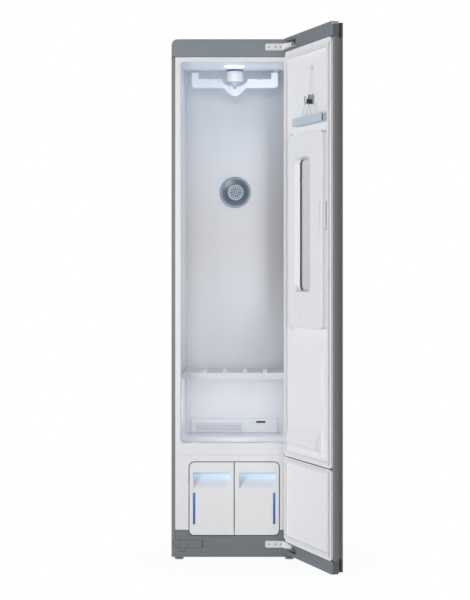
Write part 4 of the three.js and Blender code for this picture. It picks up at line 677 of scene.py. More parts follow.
def add_rings(maker, rings, closed=False):
    """Joins rings of points with faces, and closes the ends with one face each."""
    made = [[maker.verts.new(point) for point in ring] for ring in rings]
    pairs = list(zip(made, made[1:]))
    if closed:
        pairs.append((made[-1], made[0]))
    for low, high in pairs:
        count = len(low)
        for i in range(count):
            j = (i + 1) % count
            maker.faces.new((low[i], low[j], high[j], high[i]))
    if not closed:
        maker.faces.new(made[0][::-1])
        maker.faces.new(made[-1])


def ring_at(outline, height, place):
    return [place @ Vector((x, y, height)) for x, y in outline]


def prism(outline, low, high, place):
    """Rings of an outline at two heights."""
    return [ring_at(outline, low, place), ring_at(outline, high, place)]


def block(low, high, place):
    """Rings of a block between two corners."""
    outline = [(low[0], low[1]), (high[0], low[1]), (high[0], high[1]), (low[0], high[1])]
    return prism(outline, low[2], high[2], place)


def flat_frame(outer, inner, low, high, place):
    """Rings of a flat frame between two outlines with as many points, to be closed."""
    return prism(outer, low, high, place) + prism(inner, high, low, place)


def turned_rings(profile, place, steps, notch=0.0, notches=0):
    """Rings of a turned form from (radius, height) pairs, with shallow notches where asked."""
    rings = []
    for radius, height in profile:
        ring = []
        for i in range(steps):
            angle = math.tau * i / steps
            reach = radius - notch * max(0.0, math.cos(notches * angle)) if notches else radius
            ring.append(place @ Vector((reach * math.cos(angle), reach * math.sin(angle), height)))
        rings.append(ring)
    return rings


def rounded_outline(x, z, corner):
    """Points of a rectangle with round corners, from the low right corner round."""
    quarter = math.pi / 2
    points = []
    for centre_x, centre_z, turns in (
        (x[1] - corner, z[0] + corner, -1),
        (x[1] - corner, z[1] - corner, 0),
        (x[0] + corner, z[1] - corner, 1),
        (x[0] + corner, z[0] + corner, 2),
    ):
        for i in range(CORNER_STEPS + 1):
            angle = quarter * turns + quarter * i / CORNER_STEPS
            points.append((centre_x + corner * math.cos(angle), centre_z + corner * math.sin(angle)))
    return points


def circle_outline(centre, radius, steps):
    turns = [math.tau * i / steps for i in range(steps)]
    return [(centre[0] + radius * math.cos(turn), centre[1] + radius * math.sin(turn)) for turn in turns]


def door_ring(low, high, inset, corner, depth_share):
    """Ring with round corners in a box of the door, drawn in by an inset, at a share of the box's depth."""
    outline = rounded_outline((low.x + inset, high.x - inset), (low.z + inset, high.z - inset), corner)
    return ring_at(outline, low.y + (high.y - low.y) * depth_share, door_place() @ UPRIGHT)


# Operators

class CABINET_OT_casing(bpy.types.Operator):
    """Paints the casing and rounds its folded edges"""

    bl_idname = "cabinet.casing"
    bl_label = "Casing"

    # Height of the painted shade bands, and width, length and depth of the painted shade at the side panel's
    # top front
    EDGE_SHADE = 0.0026
    SLIT = 0.0014
    SLIT_LENGTH = 0.038
    CORNER_DEPTH = 0.03

    def execute(self, context):
        low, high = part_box("header_panel")
        # Painted shade along the lower edge of the header
        add_patch("Header plastic", "shade_grey", low, (high.x, high.y, low.z + self.EDGE_SHADE))
        # Painted shade of the gap at the door's top cap, along the left side panel's top front and down its
        # inner side
        low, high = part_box("side_panel_left")
        corner = (high.x, low.y + self.CORNER_DEPTH, high.z)
        add_patch("Casing paint", "glass_black", (low.x, low.y, high.z - self.EDGE_SHADE), corner)
        slit_foot = (high.x - self.SLIT, low.y, high.z - self.SLIT_LENGTH)
        add_patch("Casing paint", "glass_black", slit_foot, corner)
        dress("Casing paint", "fine_edge", "side_panel_left", "side_panel_right", "top_cover")
        dress("Header plastic", "sheet_edge", "header_panel")
        dress("Base plastic", "fine_edge", "base_front", "hinge_blank_cover")
        dress("Front plastic", "fine_edge", "lower_front_panel")
        dress("Galvanised sheet", None, "back_panel", "base_pan")
        return {"FINISHED"}


class CABINET_OT_feet(bpy.types.Operator):
    """Turns the feet with notched rims"""

    bl_idname = "cabinet.feet"
    bl_label = "Feet"

    # Radius as a share of the foot's own, and height in metres above the ground
    PROFILE_SHARES = (
        (0.86, 0.0), (0.96, 0.0007), (1.0, 0.002), (1.0, 0.0048), (0.93, 0.006), (0.62, 0.0075),
        (0.6, 0.0105), (0.66, 0.0115), (0.6, 0.0125),
    )
    STEM_RADIUS = 0.004
    STEM_FOOT = 0.0125
    STEPS = 72
    NOTCHES = 18
    BODIES = {
        "foot_front_left": "foot_left",
        "foot_front_right": "foot_right",
        "foot_rear_left": "casing",
        "foot_rear_right": "casing",
    }

    def execute(self, context):
        for name, body in self.BODIES.items():
            low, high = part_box(name)
            centre = middle_of(low, high)
            radius = (high.x - low.x) / 2
            profile = [(radius * share, low.z + height) for share, height in self.PROFILE_SHARES]
            profile += [(self.STEM_RADIUS, low.z + self.STEM_FOOT), (self.STEM_RADIUS, high.z)]
            place = Matrix.Translation((centre.x, centre.y, 0))
            rings = turned_rings(profile, place, self.STEPS, sizes().foot_rim, self.NOTCHES)
            foot = mesh_piece(name + "_turned", [rings], body, "Foot plastic")
            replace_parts(foot, name)
        return {"FINISHED"}


class CABINET_OT_tub(bpy.types.Operator):
    """Finishes the tub, its ceiling panel and the foam behind it"""

    bl_idname = "cabinet.tub"
    bl_label = "Tub"

    # Heights above the tub's foot where its paint below the shelf gives way to the painted shade at half
    # height
    FOOT_FADE = 0.3
    MIDDLE_FADE = 0.8
    FRAME_DEPTH = 0.0042
    FRAME_SOFTNESS = 0.004
    PAST_SIDES = Vector((1, 0, 1))
    PAST_BACK = Vector((1, 1, 1))
    # Left and right ends of the slots in the ceiling, painted dark as shade
    RAIL_SLOTS = ((-0.2405, -0.229), (-0.2213, -0.2028), (0.0589, 0.0737), (0.0829, 0.098))
    RAIL_SLOT_DEPTH = 0.018
    RAIL_SLOT_DROP = 0.001

    def execute(self, context):
        low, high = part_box("cavity_liner")
        # Inside the front frame the tub fades from its paint below the shelf to painted shade at half height
        # and painted light of the ceiling lamp at the top
        heights = (low.z + self.FOOT_FADE, low.z + self.MIDDLE_FADE, high.z)
        inside = fade_with_height("Tub plastic", ("tub_low", "tub_painted_middle_shade", "tub_high"), heights)
        front = Vector((low.x, low.y + self.FRAME_DEPTH, low.z)) - self.PAST_SIDES
        add_patch("Tub plastic", inside, front, high + self.PAST_BACK, self.FRAME_SOFTNESS)
        low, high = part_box("ceiling_panel")
        for left, right in self.RAIL_SLOTS:
            slot_foot = (left, high.y - self.RAIL_SLOT_DEPTH, low.z - self.RAIL_SLOT_DROP)
            add_patch("Ceiling plastic", "groove_shade_blue", slot_foot, (right, high.y, high.z))
        dress("Tub plastic", "moulded_edge", "cavity_liner")
        dress("Ceiling plastic", "fine_edge", "ceiling_panel")
        dress("Hard foam", None, "foam_jacket")
        return {"FINISHED"}


class CABINET_OT_vent(bpy.types.Operator):
    """Finishes the air vent: two coloured rings, a turned dish and a round grille"""

    bl_idname = "cabinet.vent"
    bl_label = "Air vent"

    GRILLE_RADIUS = 0.0255
    # Direction and sharpness of the painted highlight on the dish
    SHEEN_DIRECTION = (-0.62, 0, 0.78)
    SHEEN_SHARPNESS = 9.0
    SLOTS = 12
    SLOT_RADIUS = 0.0105
    SLOT_SIZE = (0.0042, 0.0095)
    HOLES = 6
    HOLE_RING = 0.0058
    HOLE_RADIUS = 0.0024
    HOLE_STEPS = 12
    INLAY = 0.0004

    def execute(self, context):
        middle = middle_of(*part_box("vent_ring"))
        self.add_sheen(middle)
        dress("Vent blue", None, "vent_ring")
        dress("Vent cyan", None, "vent_inner_ring")
        dress("Turned dish", None, "vent_dish")
        face = Vector((middle.x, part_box("vent_inner_ring")[1].y, middle.z))
        marks = [*self.slots(face), *self.holes(face)]
        mesh_piece("vent_grille_slots", marks, "casing", "Vent slots")
        return {"FINISHED"}

    def add_sheen(self, middle):
        """A painted highlight streaked across the turned dish, and a pale grille in its middle."""
        material = finish("Turned dish")
        tree = material.node_tree
        values = {"Centre": middle, "Radius": self.GRILLE_RADIUS}
        values.update({"Direction": self.SHEEN_DIRECTION, "Sharpness": self.SHEEN_SHARPNESS})
        sheen = placed_group(tree, "Round Sheen", values)
        highlighted = mixed_colour(tree, sheen["Streak"], colour("vent_metal"), colour("vent_painted_highlight"))
        painted = mixed_colour(tree, sheen["Middle"], highlighted, colour("grille_grey"))
        tree.links.new(painted, colour_input(material))

    def slots(self, face):
        """Blocks of the grille's slots, set into the dish like rays, dark as painted shade inside the slots.
        """
        wide, long = self.SLOT_SIZE
        for i in range(self.SLOTS):
            place = Matrix.Translation(face) @ Matrix.Rotation(math.tau * i / self.SLOTS, 4, "Y")
            top = (wide / 2, self.INLAY, self.SLOT_RADIUS + long)
            yield block((-wide / 2, 0, self.SLOT_RADIUS), top, place)

    def holes(self, face):
        """Discs of the grille's holes, in a ring inside the slots, dark as painted shade inside the holes."""
        for i in range(self.HOLES):
            angle = math.tau * i / self.HOLES
            across = Vector((math.cos(angle), 0, math.sin(angle))) * self.HOLE_RING
            profile = [(self.HOLE_RADIUS, 0), (self.HOLE_RADIUS, self.INLAY)]
            yield turned_rings(profile, facing(face + across), self.HOLE_STEPS)


class CABINET_OT_intake(bpy.types.Operator):
    """Finishes the air intake, the lint filter and the steam nozzle"""

    bl_idname = "cabinet.intake"
    bl_label = "Air intake"

    FILTER_INSET = Vector((0.006, 0, 0.006))
    MESH_DEPTH = (0.0013, 0.0019)
    # Margin and height of the slot across the nozzle, painted dark as shade
    SLOT_MARGIN = 0.001
    SLOT_HEIGHT = 0.0072

    def execute(self, context):
        low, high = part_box("lint_filter")
        self.add_mesh_sheet(low + self.FILTER_INSET, high - self.FILTER_INSET)
        # Slot across the steam nozzle, painted dark as shade
        low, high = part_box("steam_nozzle")
        middle = middle_of(low, high).z
        slot_foot = (low.x + self.SLOT_MARGIN, low.y - self.SLOT_MARGIN, middle - self.SLOT_HEIGHT / 2)
        slot_top = (high.x - self.SLOT_MARGIN, high.y, middle + self.SLOT_HEIGHT / 2)
        add_patch("Nozzle plastic", "drive_black", slot_foot, slot_top)
        dress("Intake plastic", "fine_edge", "intake_panel")
        dress("Nozzle plastic", "fine_edge", "steam_nozzle")
        dress("Filter plastic", "fine_edge", "lint_filter")
        return {"FINISHED"}

    def add_mesh_sheet(self, low, high):
        """Fine lint mesh behind the bars of the filter, which are darker in front of it."""
        add_patch("Filter plastic", "window_grey", low, high)
        near, far = self.MESH_DEPTH
        sheet = block((low.x, low.y + near, low.z), (high.x, low.y + far, high.z), Matrix.Identity(4))
        mesh_piece("lint_mesh", [sheet], "filter", "Lint mesh")


class CABINET_OT_shelf(bpy.types.Operator):
    """Finishes the slotted shelf"""

    bl_idname = "cabinet.shelf"
    bl_label = "Shelf"

    def execute(self, context):
        dress("Shelf plastic", "fine_edge", "shelf")
        return {"FINISHED"}


class CABINET_OT_drive(bpy.types.Operator):
    """Finishes the hanger bar and its drive, and lights the lamp"""

    bl_idname = "cabinet.drive"
    bl_label = "Hanger drive"

    # Heights of the groove round the drive housing under the ceiling, painted dark as shade
    GROOVE = (1.7615, 1.7675)
    # Ends along x, and heights, of the slot under the cone, painted dark as shade
    BAR_SLOT = ((-0.0764, -0.0734), (1.696, 1.7065))
    # Heights of the dashes at the bar's ends under the ceiling, painted dark as shade, and their width
    STEM_DASH = (1.7595, 1.7625)
    STEM_WIDTH = 0.034
    MARGIN = 0.001

    def execute(self, context):
        low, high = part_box("drive_housing")
        groove_foot, groove_top = self.GROOVE
        add_patch("Housing white", "groove_shade_blue", (low.x, low.y, groove_foot), (high.x, high.y, groove_top))
        low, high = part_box("hanger_bar")
        near = low.y - self.MARGIN
        (left, right), (foot, top) = self.BAR_SLOT
        add_patch("Bar plastic", "groove_shade_blue", (left, near, foot), (right, low.y + self.MARGIN, top))
        foot, top = self.STEM_DASH
        for left, right in ((low.x, low.x + self.STEM_WIDTH), (high.x - self.STEM_WIDTH, high.x)):
            add_patch("Bar plastic", "groove_shade_blue", (left, near, foot), (right, high.y, top))
        dress("Bar plastic", "bar_edge", "hanger_bar")
        dress("Housing white", None, "drive_housing")
        dress("Cone plastic", None, "drive_rotor")
        dress("Drive plastic", None, "drive_motor")
        dress("Rail sheet", None, "rail_carrier")
        dress("Lamp lens", "fine_edge", "lamp_lens")
        return {"FINISHED"}


class CABINET_OT_tanks(bpy.types.Operator):
    """Finishes the two tanks with their lit scoops and level windows"""

    bl_idname = "cabinet.tanks"
    bl_label = "Tanks"

    # Depths and heights in a tank's front: the lit line at the scoop's top, and under it painted light of the
    # line glowing on the slope
    FACE = 0.0045
    GLOW_FACE = 0.0085
    SLOPE_FOOT = 0.256
    GLOW_FOOT = 0.286
    LINE_FOOT = 0.3065
    SCOOP_TOP = 0.3125
    LINE_SOFTNESS = 0.001
    SLOPE_SOFTNESS = 0.008
    GLOW_SOFTNESS = 0.016
    GLOW = 0.2
    # Heights of the fade in the level windows above the foot of a tank
    LEVEL_FADE = (0.04, 0.1, 0.15)

    def execute(self, context):
        low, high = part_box("water_tank_shell")
        heights = [low.z + height for height in self.LEVEL_FADE]
        fade = fade_with_height("Level plastic", ("level_low", "level_low", "level_high"), heights)
        level = finish("Level plastic")
        level.node_tree.links.new(fade, colour_input(level))
        self.dress_front("drain_tank_front", lit_left=True)
        self.dress_front("water_tank_front", lit_left=False)
        dress("Level plastic", "fine_edge", "water_tank_shell", "drain_tank_shell")
        dress("Bay plastic", None, "tank_bay")
        return {"FINISHED"}

    def dress_front(self, part, lit_left):
        """White front whose lit line is strong at the tank's outer end, with painted light of the line
        glowing on the scoop's slope under it.
        """
        name = "Lit " + part
        low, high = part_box(part)
        top = (high.x, high.y, self.SCOOP_TOP)
        face = low.y + self.FACE
        line_foot = (low.x, face, self.LINE_FOOT)
        glow_foot = (low.x, low.y + self.GLOW_FACE, self.GLOW_FOOT)
        # Painted light of the lit line on the scoop's slope
        add_patch(name, "scoop_slope_painted_light", (low.x, face, self.SLOPE_FOOT), top, self.SLOPE_SOFTNESS)
        add_patch(name, "scoop_painted_glow", glow_foot, top, self.GLOW_SOFTNESS)
        add_patch(name, "scoop_pale", line_foot, top, self.LINE_SOFTNESS)
        ends = (high.x, low.x) if lit_left else (low.x, high.x)
        add_patch(name, "scoop_cyan", line_foot, top, self.LINE_SOFTNESS, fade=ends)
        # The painted glow under the lit line gives off light
        add_glow(name, "scoop_painted_glow", glow_foot, top, self.GLOW_SOFTNESS, self.GLOW)
        dress(name, "fine_edge", part)


class CABINET_OT_machine(bpy.types.Operator):
    """Finishes the machines behind the tanks"""

    bl_idname = "cabinet.machine"
    bl_label = "Machine space"

    def execute(self, context):
        dress("Machine black", None, "compressor", "water_pump", "blower_wheel")
        dress("Fin sheet", None, "heat_exchanger", "steam_generator")
        dress("Housing plastic", None, "blower_housing")
        dress("Circuit board", None, "control_board")
        return {"FINISHED"}


class CABINET_OT_hinges(bpy.types.Operator):
    """Paints the hinge plates, covers their arms and sets their screws and door brackets"""

    bl_idname = "cabinet.hinges"
    bl_label = "Hinges"

    # Distance of the screws from the free end of a plate
    SCREWS = (0.0125, 0.037, 0.0545)
    SCREW_LINES = {"hinge_plate_upper": 1.822, "hinge_plate_lower": 0.0585}
    PLATE_DEPTH = 0.003
    HEAD_SHARES = ((1.0, 0.0), (1.0, 0.45), (0.8, 0.85), (0.35, 1.0))
    HEAD_STEPS = 32
    # Outlines over the arms, seen from above, from the pivot
    COVER = (
        (-0.030, 0.0325), (-0.0082, 0.0325), (0.0069, 0.0074), (-0.0125, 0.007), (-0.0225, 0.0213),
        (-0.030, 0.0272),
    )
    FLANGE = ((-0.030, 0.0325), (-0.0135, 0.0325), (-0.0135, 0.008), (-0.0225, 0.0213), (-0.030, 0.0272))
    LAYERS = {
        "hinge_cover_upper": (COVER, 1.817, 1.8346, "Hinge cover"),
        "hinge_flange_upper": (FLANGE, 1.813, 1.8155, "Hinge paint"),
        "hinge_cover_lower": (COVER, 0.0452, 0.0545, "Hinge cover"),
        "hinge_flange_lower": (FLANGE, 0.0564, 0.0704, "Hinge paint"),
    }
    RING_RADII = (0.0077, 0.0072)
    RING_STEPS = 40
    RINGS = {"hinge_ring_upper": (1.829, 1.8348), "hinge_ring_lower": (0.045, 0.05)}
    # Ends of the brackets on the door, from the pivot towards the free edge, and their layers outwards
    BRACKET = (0.031, 0.097)
    # The backing is dark as painted shade of the pocket seen through the slots
    SHADE_BACKING = (0.0142, 0.0146)
    FACE = (0.0146, 0.016)
    # Heights of each bracket, and the start, end, foot and top of its slots
    BRACKETS = {
        "door_bracket_upper": (
            (1.8105, 1.833), ((0.037, 0.048, 1.816, 1.829), (0.057, 0.073, 1.816, 1.829))
        ),
        "door_bracket_lower": (
            (0.0468, 0.0695), ((0.030, 0.037, 0.0468, 0.053), (0.050, 0.061, 0.0485, 0.0608))
        ),
    }
    # Depth and heights of the dark band, painted shade under the top of the upper hinge pocket
    POCKET_SHADE_DEPTH = (0.0146, 0.0255)
    POCKET_SHADE_HEIGHT = (1.8305, 1.8355)

    def execute(self, context):
        dress("Hinge paint", "fine_edge", "hinge_plate_upper", "hinge_plate_lower")
        self.add_screws()
        place = Matrix.Translation(door_pivot())
        for name, (outline, low, high, paint) in self.LAYERS.items():
            mesh_piece(name, [prism(outline, low, high, place)], "casing", paint, "fine_edge")
        outer, inner = [circle_outline((0, 0), radius, self.RING_STEPS) for radius in self.RING_RADII]
        for name, (low, high) in self.RINGS.items():
            ring = flat_frame(outer, inner, low, high, place)
            mesh_piece(name, [ring], "casing", "Screw metal", closed=True)
        self.add_brackets()
        return {"FINISHED"}

    def add_screws(self):
        """Round heads in the countersinks of the plates."""
        radius, tall = sizes().screw_radius, sizes().screw_height
        profile = [(radius * width, tall * share) for width, share in self.HEAD_SHARES]
        for name, height in self.SCREW_LINES.items():
            low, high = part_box(name)
            for number, offset in enumerate(self.SCREWS, 1):
                place = facing((low.x + offset, high.y - self.PLATE_DEPTH + tall / 2, height))
                head = turned_rings(profile, place, self.HEAD_STEPS)
                mesh_piece(f"{name}_screw_{number}", [head], "casing", "Dull screw metal")

    def add_brackets(self):
        """Slotted plates on the inside of the door's caps, with a dark backing and a dark band, painted shade
        of the hinge pockets.
        """
        for name, (height, slots) in self.BRACKETS.items():
            backing = [self.door_block(self.BRACKET, self.SHADE_BACKING, height)]
            mesh_piece(name + "_back", backing, "door", "Bracket black")
            plate = [self.door_block(stretch, self.FACE, height) for stretch in self.between(slots)]
            for start, end, low, high in slots:
                for foot, top in ((height[0], low), (high, height[1])):
                    if top > foot:
                        plate.append(self.door_block((start, end), self.FACE, (foot, top)))
            mesh_piece(name, plate, "door", "Screw metal")
        band = [self.door_block(self.BRACKET, self.POCKET_SHADE_DEPTH, self.POCKET_SHADE_HEIGHT)]
        mesh_piece("door_bracket_band", band, "door", "Bracket black")

    def between(self, slots):
        """Stretches of a bracket that have no slot."""
        start, end = self.BRACKET
        for slot in slots:
            if slot[0] > start:
                yield start, slot[0]
            start = slot[1]
        yield start, end

    def door_block(self, along, depth, height):
        return block((-along[1], depth[0], height[0]), (-along[0], depth[1], height[1]), door_place())


class CABINET_OT_door(bpy.types.Operator):
    """Finishes the door's skin, caps, handle rail and display"""

    bl_idname = "cabinet.door"
    bl_label = "Door"

    # Heights of the joint between the door's liners, where the foam behind is painted dark as shade
    LINER_JOINT = (0.37, 0.381)
    # Hinge pockets, seen from the door's pivot, with their hollows painted dark as shade
    POCKET_SHADES = (
        ((-0.1, -0.0145, 1.8295), (-0.029, 0.0252, 1.8375)),
        ((-0.1, -0.0145, 0.043), (-0.029, 0.0252, 0.0478)),
    )
    # Start from the pivot and foot of the painted highlight on the cap's rounded top corner
    SHEEN_START = 0.419
    SHEEN_HEIGHT = 1.8356
    MARK_ROWS = 5
    MARK_PITCH = 0.034
    MARK_WIDTH = 0.0008
    MARK_INLAY = 0.0002
    MARK_STEPS = 36

    def execute(self, context):
        # Painted shade in the joint between the liners, on the foam behind it
        low, high = door_box("door_core")
        foot, top = self.LINER_JOINT
        add_patch("Door foam", "drive_black", (low.x, low.y, foot), (high.x, high.y, top), on_door=True)
        low, high = door_box("door_cap_top")
        for pocket_low, pocket_high in self.POCKET_SHADES:
            add_patch("Cap plastic", "glass_black", pocket_low, pocket_high, on_door=True)
        # Painted highlight on the cap's rounded top corner at the free edge
        sheen_foot = (low.x, low.y, self.SHEEN_HEIGHT)
        sheen_top = (-self.SHEEN_START, high.y, high.z)
        add_patch("Cap plastic", "cap_painted_highlight", sheen_foot, sheen_top, on_door=True)
        dress("Door paint", "fine_edge", "door_skin")
        dress("Cap plastic", "fine_edge", "door_cap_top", "door_cap_bottom")
        dress("Edge frame", "fine_edge", "door_edge_frame")
        dress("Handle rail", "fine_edge", "door_handle_rail")
        dress("Display glass", "fine_edge", "door_display")
        dress("Door foam", None, "door_core")
        marks = list(self.marks(*door_box("door_display")))
        mesh_piece("door_display_marks", marks, "door", "Display marks", closed=True)
        return {"FINISHED"}

    def marks(self, low, high):
        """Row of plain round marks set into the display's glass."""
        middle = middle_of(low, high)
        place = door_place() @ Matrix.Translation((0, low.y + self.MARK_INLAY, 0)) @ UPRIGHT
        radius = sizes().mark_radius
        for row in range(self.MARK_ROWS):
            height = middle.z + self.MARK_PITCH * (row - (self.MARK_ROWS - 1) / 2)
            outer = circle_outline((middle.x, height), radius, self.MARK_STEPS)
            inner = circle_outline((middle.x, height), radius - self.MARK_WIDTH, self.MARK_STEPS)
            yield flat_frame(outer, inner, -self.MARK_INLAY, 0, place)


class CABINET_OT_liners(bpy.types.Operator):
    """Finishes the white inside of the door and folds its rubber gaskets"""

    bl_idname = "cabinet.liners"
    bl_label = "Door liners"

    JOINT_EDGE = 0.0012
    JOINT_GAP = 0.0045
    GASKET_WIDTH = 0.011
    CORNER = 0.004
    LEAST_CORNER = 0.001
    # Height of a gasket as shares, with how deep its sides fold in there as shares of the fold
    FOLD_SHARES = (
        (0.0, 0.0), (0.12, 0.0), (0.3, 1.0), (0.45, 0.1), (0.6, 1.0), (0.78, 0.0), (0.93, 0.1), (1.0, 0.7),
    )

    def execute(self, context):
        low, high = door_box("door_liner_lower")
        joint_foot = (low.x, low.y, high.z - self.JOINT_EDGE)
        joint_top = (high.x, high.y, high.z + self.JOINT_GAP)
        add_patch("Liner plastic", "seam_grey", joint_foot, joint_top, on_door=True)
        dress("Liner plastic", "moulded_edge", "door_liner_upper", "door_liner_lower")
        for name in ("door_gasket_upper", "door_gasket_lower"):
            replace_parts(self.folded_gasket(name), name)
        return {"FINISHED"}

    def folded_gasket(self, name):
        """Rubber profile with two folds in its sides, swept round the liner."""
        low, high = door_box(name)
        outer = [self.ring(low, high, sizes().gasket_fold * fold, share) for share, fold in self.FOLD_SHARES]
        inner = [
            self.ring(low, high, self.GASKET_WIDTH - sizes().gasket_fold * fold, share)
            for share, fold in reversed(self.FOLD_SHARES)
        ]
        rings = [*outer, *inner]
        return mesh_piece(name + "_folded", [rings], "door", "Gasket rubber", closed=True)

    def ring(self, low, high, inset, share):
        return door_ring(low, high, inset, max(self.CORNER - inset, self.LEAST_CORNER), share)


class CABINET_OT_press(bpy.types.Operator):
    """Finishes the trouser press on the inside of the door and pads it"""

    bl_idname = "cabinet.press"
    bl_label = "Trouser press"

    LATCH_LINE = ((-0.3795, 0.0263, 1.162), (-0.377, 0.0295, 1.258))
    PAD_CORNER = 0.006
    # Inset from the pad's edge, with its height as a share of the pad's
    CROWN_SHARES = (
        (0.0006, 0.0), (0.0, 0.25), (0.0002, 0.55), (0.0014, 0.8), (0.004, 0.9), (0.012, 0.97), (0.026, 1.0),
    )

    def execute(self, context):
        add_patch("Press plastic", "seam_grey", *self.LATCH_LINE, on_door=True)
        dress("Press plastic", "moulded_edge", "press_cover")
        dress("Latch plastic", "fine_edge", "press_latch")
        low, high = door_box("press_pad")
        rings = [door_ring(low, high, inset, self.PAD_CORNER, share) for inset, share in self.CROWN_SHARES]
        pad = mesh_piece("press_pad_felt", [rings], "door", "Press felt")
        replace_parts(pad, "press_pad")
        return {"FINISHED"}


class CABINET_OT_clamp(bpy.types.Operator):
    """Finishes the trouser clamp with its black boss and its toggle"""

    bl_idname = "cabinet.clamp"
    bl_label = "Trouser clamp"

    # Black parts of the boss, seen from the door's pivot
    BLACK_PARTS = (
        ((-0.268, 0.028, 1.588), (-0.2445, 0.052, 1.606)),
        ((-0.263, 0.028, 1.606), (-0.252, 0.052, 1.6225)),
    )
    # Radius of the toggle's hole and corners as a share of its width, and height of the hole
    HOLE_SHARE = 0.28
    HOLE_HEIGHT_SHARE = 0.66

    def execute(self, context):
        for part in ("clamp_back", "clamp_front"):
            for low, high in self.BLACK_PARTS:
                add_patch("Silver " + part, "drive_black", low, high, on_door=True)
            dress("Silver " + part, "trim_edge", part)
        toggle = self.toggle_plate()
        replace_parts(toggle, "clamp_clasp")
        return {"FINISHED"}

    def toggle_plate(self):
        """Plate with a round hole that flips over the lever."""
        low, high = door_box("clamp_clasp")
        radius = (high.x - low.x) * self.HOLE_SHARE
        centre = Vector((middle_of(low, high).x, low.z + (high.z - low.z) * self.HOLE_HEIGHT_SHARE))
        outer = rounded_outline((low.x, high.x), (low.z, high.z), radius)
        inner = [centre + (Vector(point) - centre).normalized() * radius for point in outer]
        plate = flat_frame(outer, inner, low.y, high.y, door_place() @ UPRIGHT)
        return mesh_piece("clamp_toggle", [plate], "clasp", "Clasp chrome", closed=True)


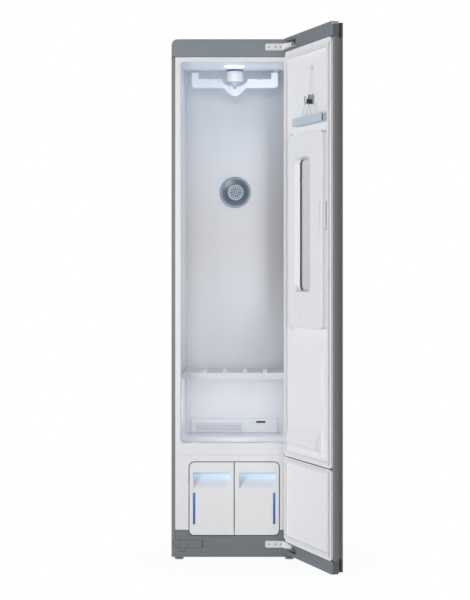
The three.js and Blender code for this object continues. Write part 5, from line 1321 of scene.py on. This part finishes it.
class CABINET_OT_stage(bpy.types.Operator):
    """Sets the floor, the camera and the light"""

    bl_idname = "cabinet.stage"
    bl_label = "Stage"

    AIM = (0, 0.1, 0.9)
    # Place and size of the lamps in front of the cabinet, and the value that holds their power
    ROOM_LAMPS = {
        "Front lamp": ((0, -6.2, 1.4), (2.0, 2.0), "front_light"),
        "Left lamp": ((-3.4, -2.4, 1.2), (2.6, 2.6), "side_light"),
    }
    # Place, aim, size and share of the tub light's power of the lamps inside the tub
    TUB_LAMP_SHARES = {
        "Tub lamp": ((0.06, 0.17, 1.22), (-0.26, 0.17, 1.22), (0.3, 0.7), 0.6),
        "Shelf lamp": ((-0.07, 0.012, 0.56), (-0.07, 0.39, 0.52), (0.22, 0.08), 0.22),
        "Ceiling lamp": ((-0.07, 0.1, 1.6), (-0.07, 0.1, 1.76), (0.3, 0.16), 0.08),
    }
    TUB_TINT = (0.95, 0.975, 1.0)
    ROOM_TINT = (0.97, 0.98, 1.0, 1)
    FLOOR_REACH = 12.0
    FLOOR_ROUGHNESS = 0.9
    # From and to this far from the middle, the floor's shadow fades to white, from this share on
    SHADOW_REACH = (0.25, 0.6)
    SHADOW_SHARE = 0.95

    def execute(self, context):
        choice = context.scene.cabinet_stage
        self.add_floor()
        self.add_camera(context.scene, choice)
        self.light_room(context.scene, choice.room_light)
        for name, (place, size, power) in self.ROOM_LAMPS.items():
            self.add_lamp(name, place, self.AIM, size, getattr(choice, power))
        for name, (place, aim, size, share) in self.TUB_LAMP_SHARES.items():
            lamp = self.add_lamp(name, place, aim, size, choice.tub_light * share)
            lamp.data.color = self.TUB_TINT
            lamp.visible_camera = False
            lamp.visible_glossy = False
        return {"FINISHED"}

    def add_floor(self):
        reach = self.FLOOR_REACH
        corners = [(-reach, -reach, 0), (reach, -reach, 0), (reach, reach, 0), (-reach, reach, 0)]
        mesh = bpy.data.meshes.new("floor")
        mesh.from_pydata(corners, [], [range(len(corners))])
        floor = bpy.data.objects.new("floor", mesh)
        bpy.context.scene.collection.objects.link(floor)
        mesh.materials.append(self.floor_material())

    def white_rays(self, tree):
        """1 for the rays that see the plain white background."""
        rays = add_node(tree, "LightPath", {}).outputs
        seen = math_node(tree, "MAXIMUM", rays["Is Camera Ray"], rays["Is Glossy Ray"])
        return math_node(tree, "MAXIMUM", seen, rays["Is Transmission Ray"])

    def floor_material(self):
        """Pale floor that keeps the shadow near the cabinet and fades to white further away."""
        material, tree, shader = blank_material("Stage floor")
        paint = opaque(colour("floor_white"))
        plain = {"Base Color": paint, "Roughness": self.FLOOR_ROUGHNESS, "Specular IOR Level": 0.0}
        set_inputs(tree, shader, plain)
        near, far = self.SHADOW_REACH
        distance = vector_node(tree, "LENGTH", object_place(tree), output="Value")
        inputs = {"Value": distance, "From Min": near, "From Max": far, "To Min": self.SHADOW_SHARE}
        fade = add_node(tree, "MapRange", inputs).outputs["Result"]
        share = math_node(tree, "MULTIPLY", self.white_rays(tree), fade)
        self.mix_white(tree, share, "Emission", shader, "Material Output")
        return material

    def mix_white(self, tree, share, kind, plain, end):
        """Leads a shader to the output, with plain white over it by a share."""
        white = add_node(tree, kind, {"Color": WHITE, "Strength": 1.0})
        mixed = add_node(tree, "MixShader", {0: share, 1: plain.outputs[0], 2: white.outputs[0]})
        tree.links.new(mixed.outputs[0], tree.nodes[end].inputs["Surface"])

    def add_camera(self, scene, choice):
        data = bpy.data.cameras.new("camera")
        data.lens = choice.lens
        data.shift_x = choice.shift_across
        data.shift_y = choice.shift_up
        camera = bpy.data.objects.new("camera", data)
        camera.location = (choice.camera_x, choice.camera_y, choice.camera_z)
        camera.rotation_euler = (math.pi / 2, 0, 0)
        scene.collection.objects.link(camera)
        scene.camera = camera

    def light_room(self, scene, strength):
        scene.world = bpy.data.worlds.new("Studio")
        scene.world.use_nodes = True
        tree = scene.world.node_tree
        room = set_inputs(tree, tree.nodes["Background"], {"Color": self.ROOM_TINT, "Strength": strength})
        self.mix_white(tree, self.white_rays(tree), "Background", room, "World Output")

    def add_lamp(self, name, place, aim, size, power):
        data = bpy.data.lights.new(name, "AREA")
        data.shape = "RECTANGLE"
        data.size, data.size_y = size
        data.energy = power
        lamp = bpy.data.objects.new(name, data)
        lamp.location = place
        lamp.rotation_euler = (Vector(aim) - Vector(place)).to_track_quat("-Z", "Y").to_euler()
        bpy.context.scene.collection.objects.link(lamp)
        return lamp


PIECES = (
    CABINET_OT_casing,
    CABINET_OT_feet,
    CABINET_OT_tub,
    CABINET_OT_vent,
    CABINET_OT_intake,
    CABINET_OT_shelf,
    CABINET_OT_drive,
    CABINET_OT_tanks,
    CABINET_OT_machine,
    CABINET_OT_hinges,
    CABINET_OT_door,
    CABINET_OT_liners,
    CABINET_OT_press,
    CABINET_OT_clamp,
    CABINET_OT_stage,
)


class CABINET_PT_sidebar(bpy.types.Panel):
    """Lists the pieces of the cabinet with their sizes and colours"""

    bl_idname = "CABINET_PT_sidebar"
    bl_label = "Steam Cabinet"
    bl_space_type = "VIEW_3D"
    bl_region_type = "UI"
    bl_category = "Steam Cabinet"

    def draw(self, context):
        for piece in PIECES:
            self.layout.operator(piece.bl_idname)
        for name, made in CHOICES.items():
            box = self.layout.box()
            for key in made.__annotations__:
                box.prop(getattr(context.scene, name), key)


# Values that the user can change, by their names in the scene
CHOICES = {"cabinet_sizes": CabinetSizes, "cabinet_colours": CabinetColours, "cabinet_stage": CabinetStage}
CLASSES = (*CHOICES.values(), *PIECES, CABINET_PT_sidebar)


def register():
    for made in CLASSES:
        bpy.utils.register_class(made)
    for name, made in CHOICES.items():
        setattr(bpy.types.Scene, name, bpy.props.PointerProperty(type=made))


def unregister():
    for name in CHOICES:
        delattr(bpy.types.Scene, name)
    for made in reversed(CLASSES):
        bpy.utils.unregister_class(made)


def main():
    register()
    bpy.context.scene.view_settings.view_transform = "Standard"
    for piece in PIECES:
        area, name = piece.bl_idname.split(".")
        getattr(getattr(bpy.ops, area), name)()


if __name__ == "__main__":
    main()
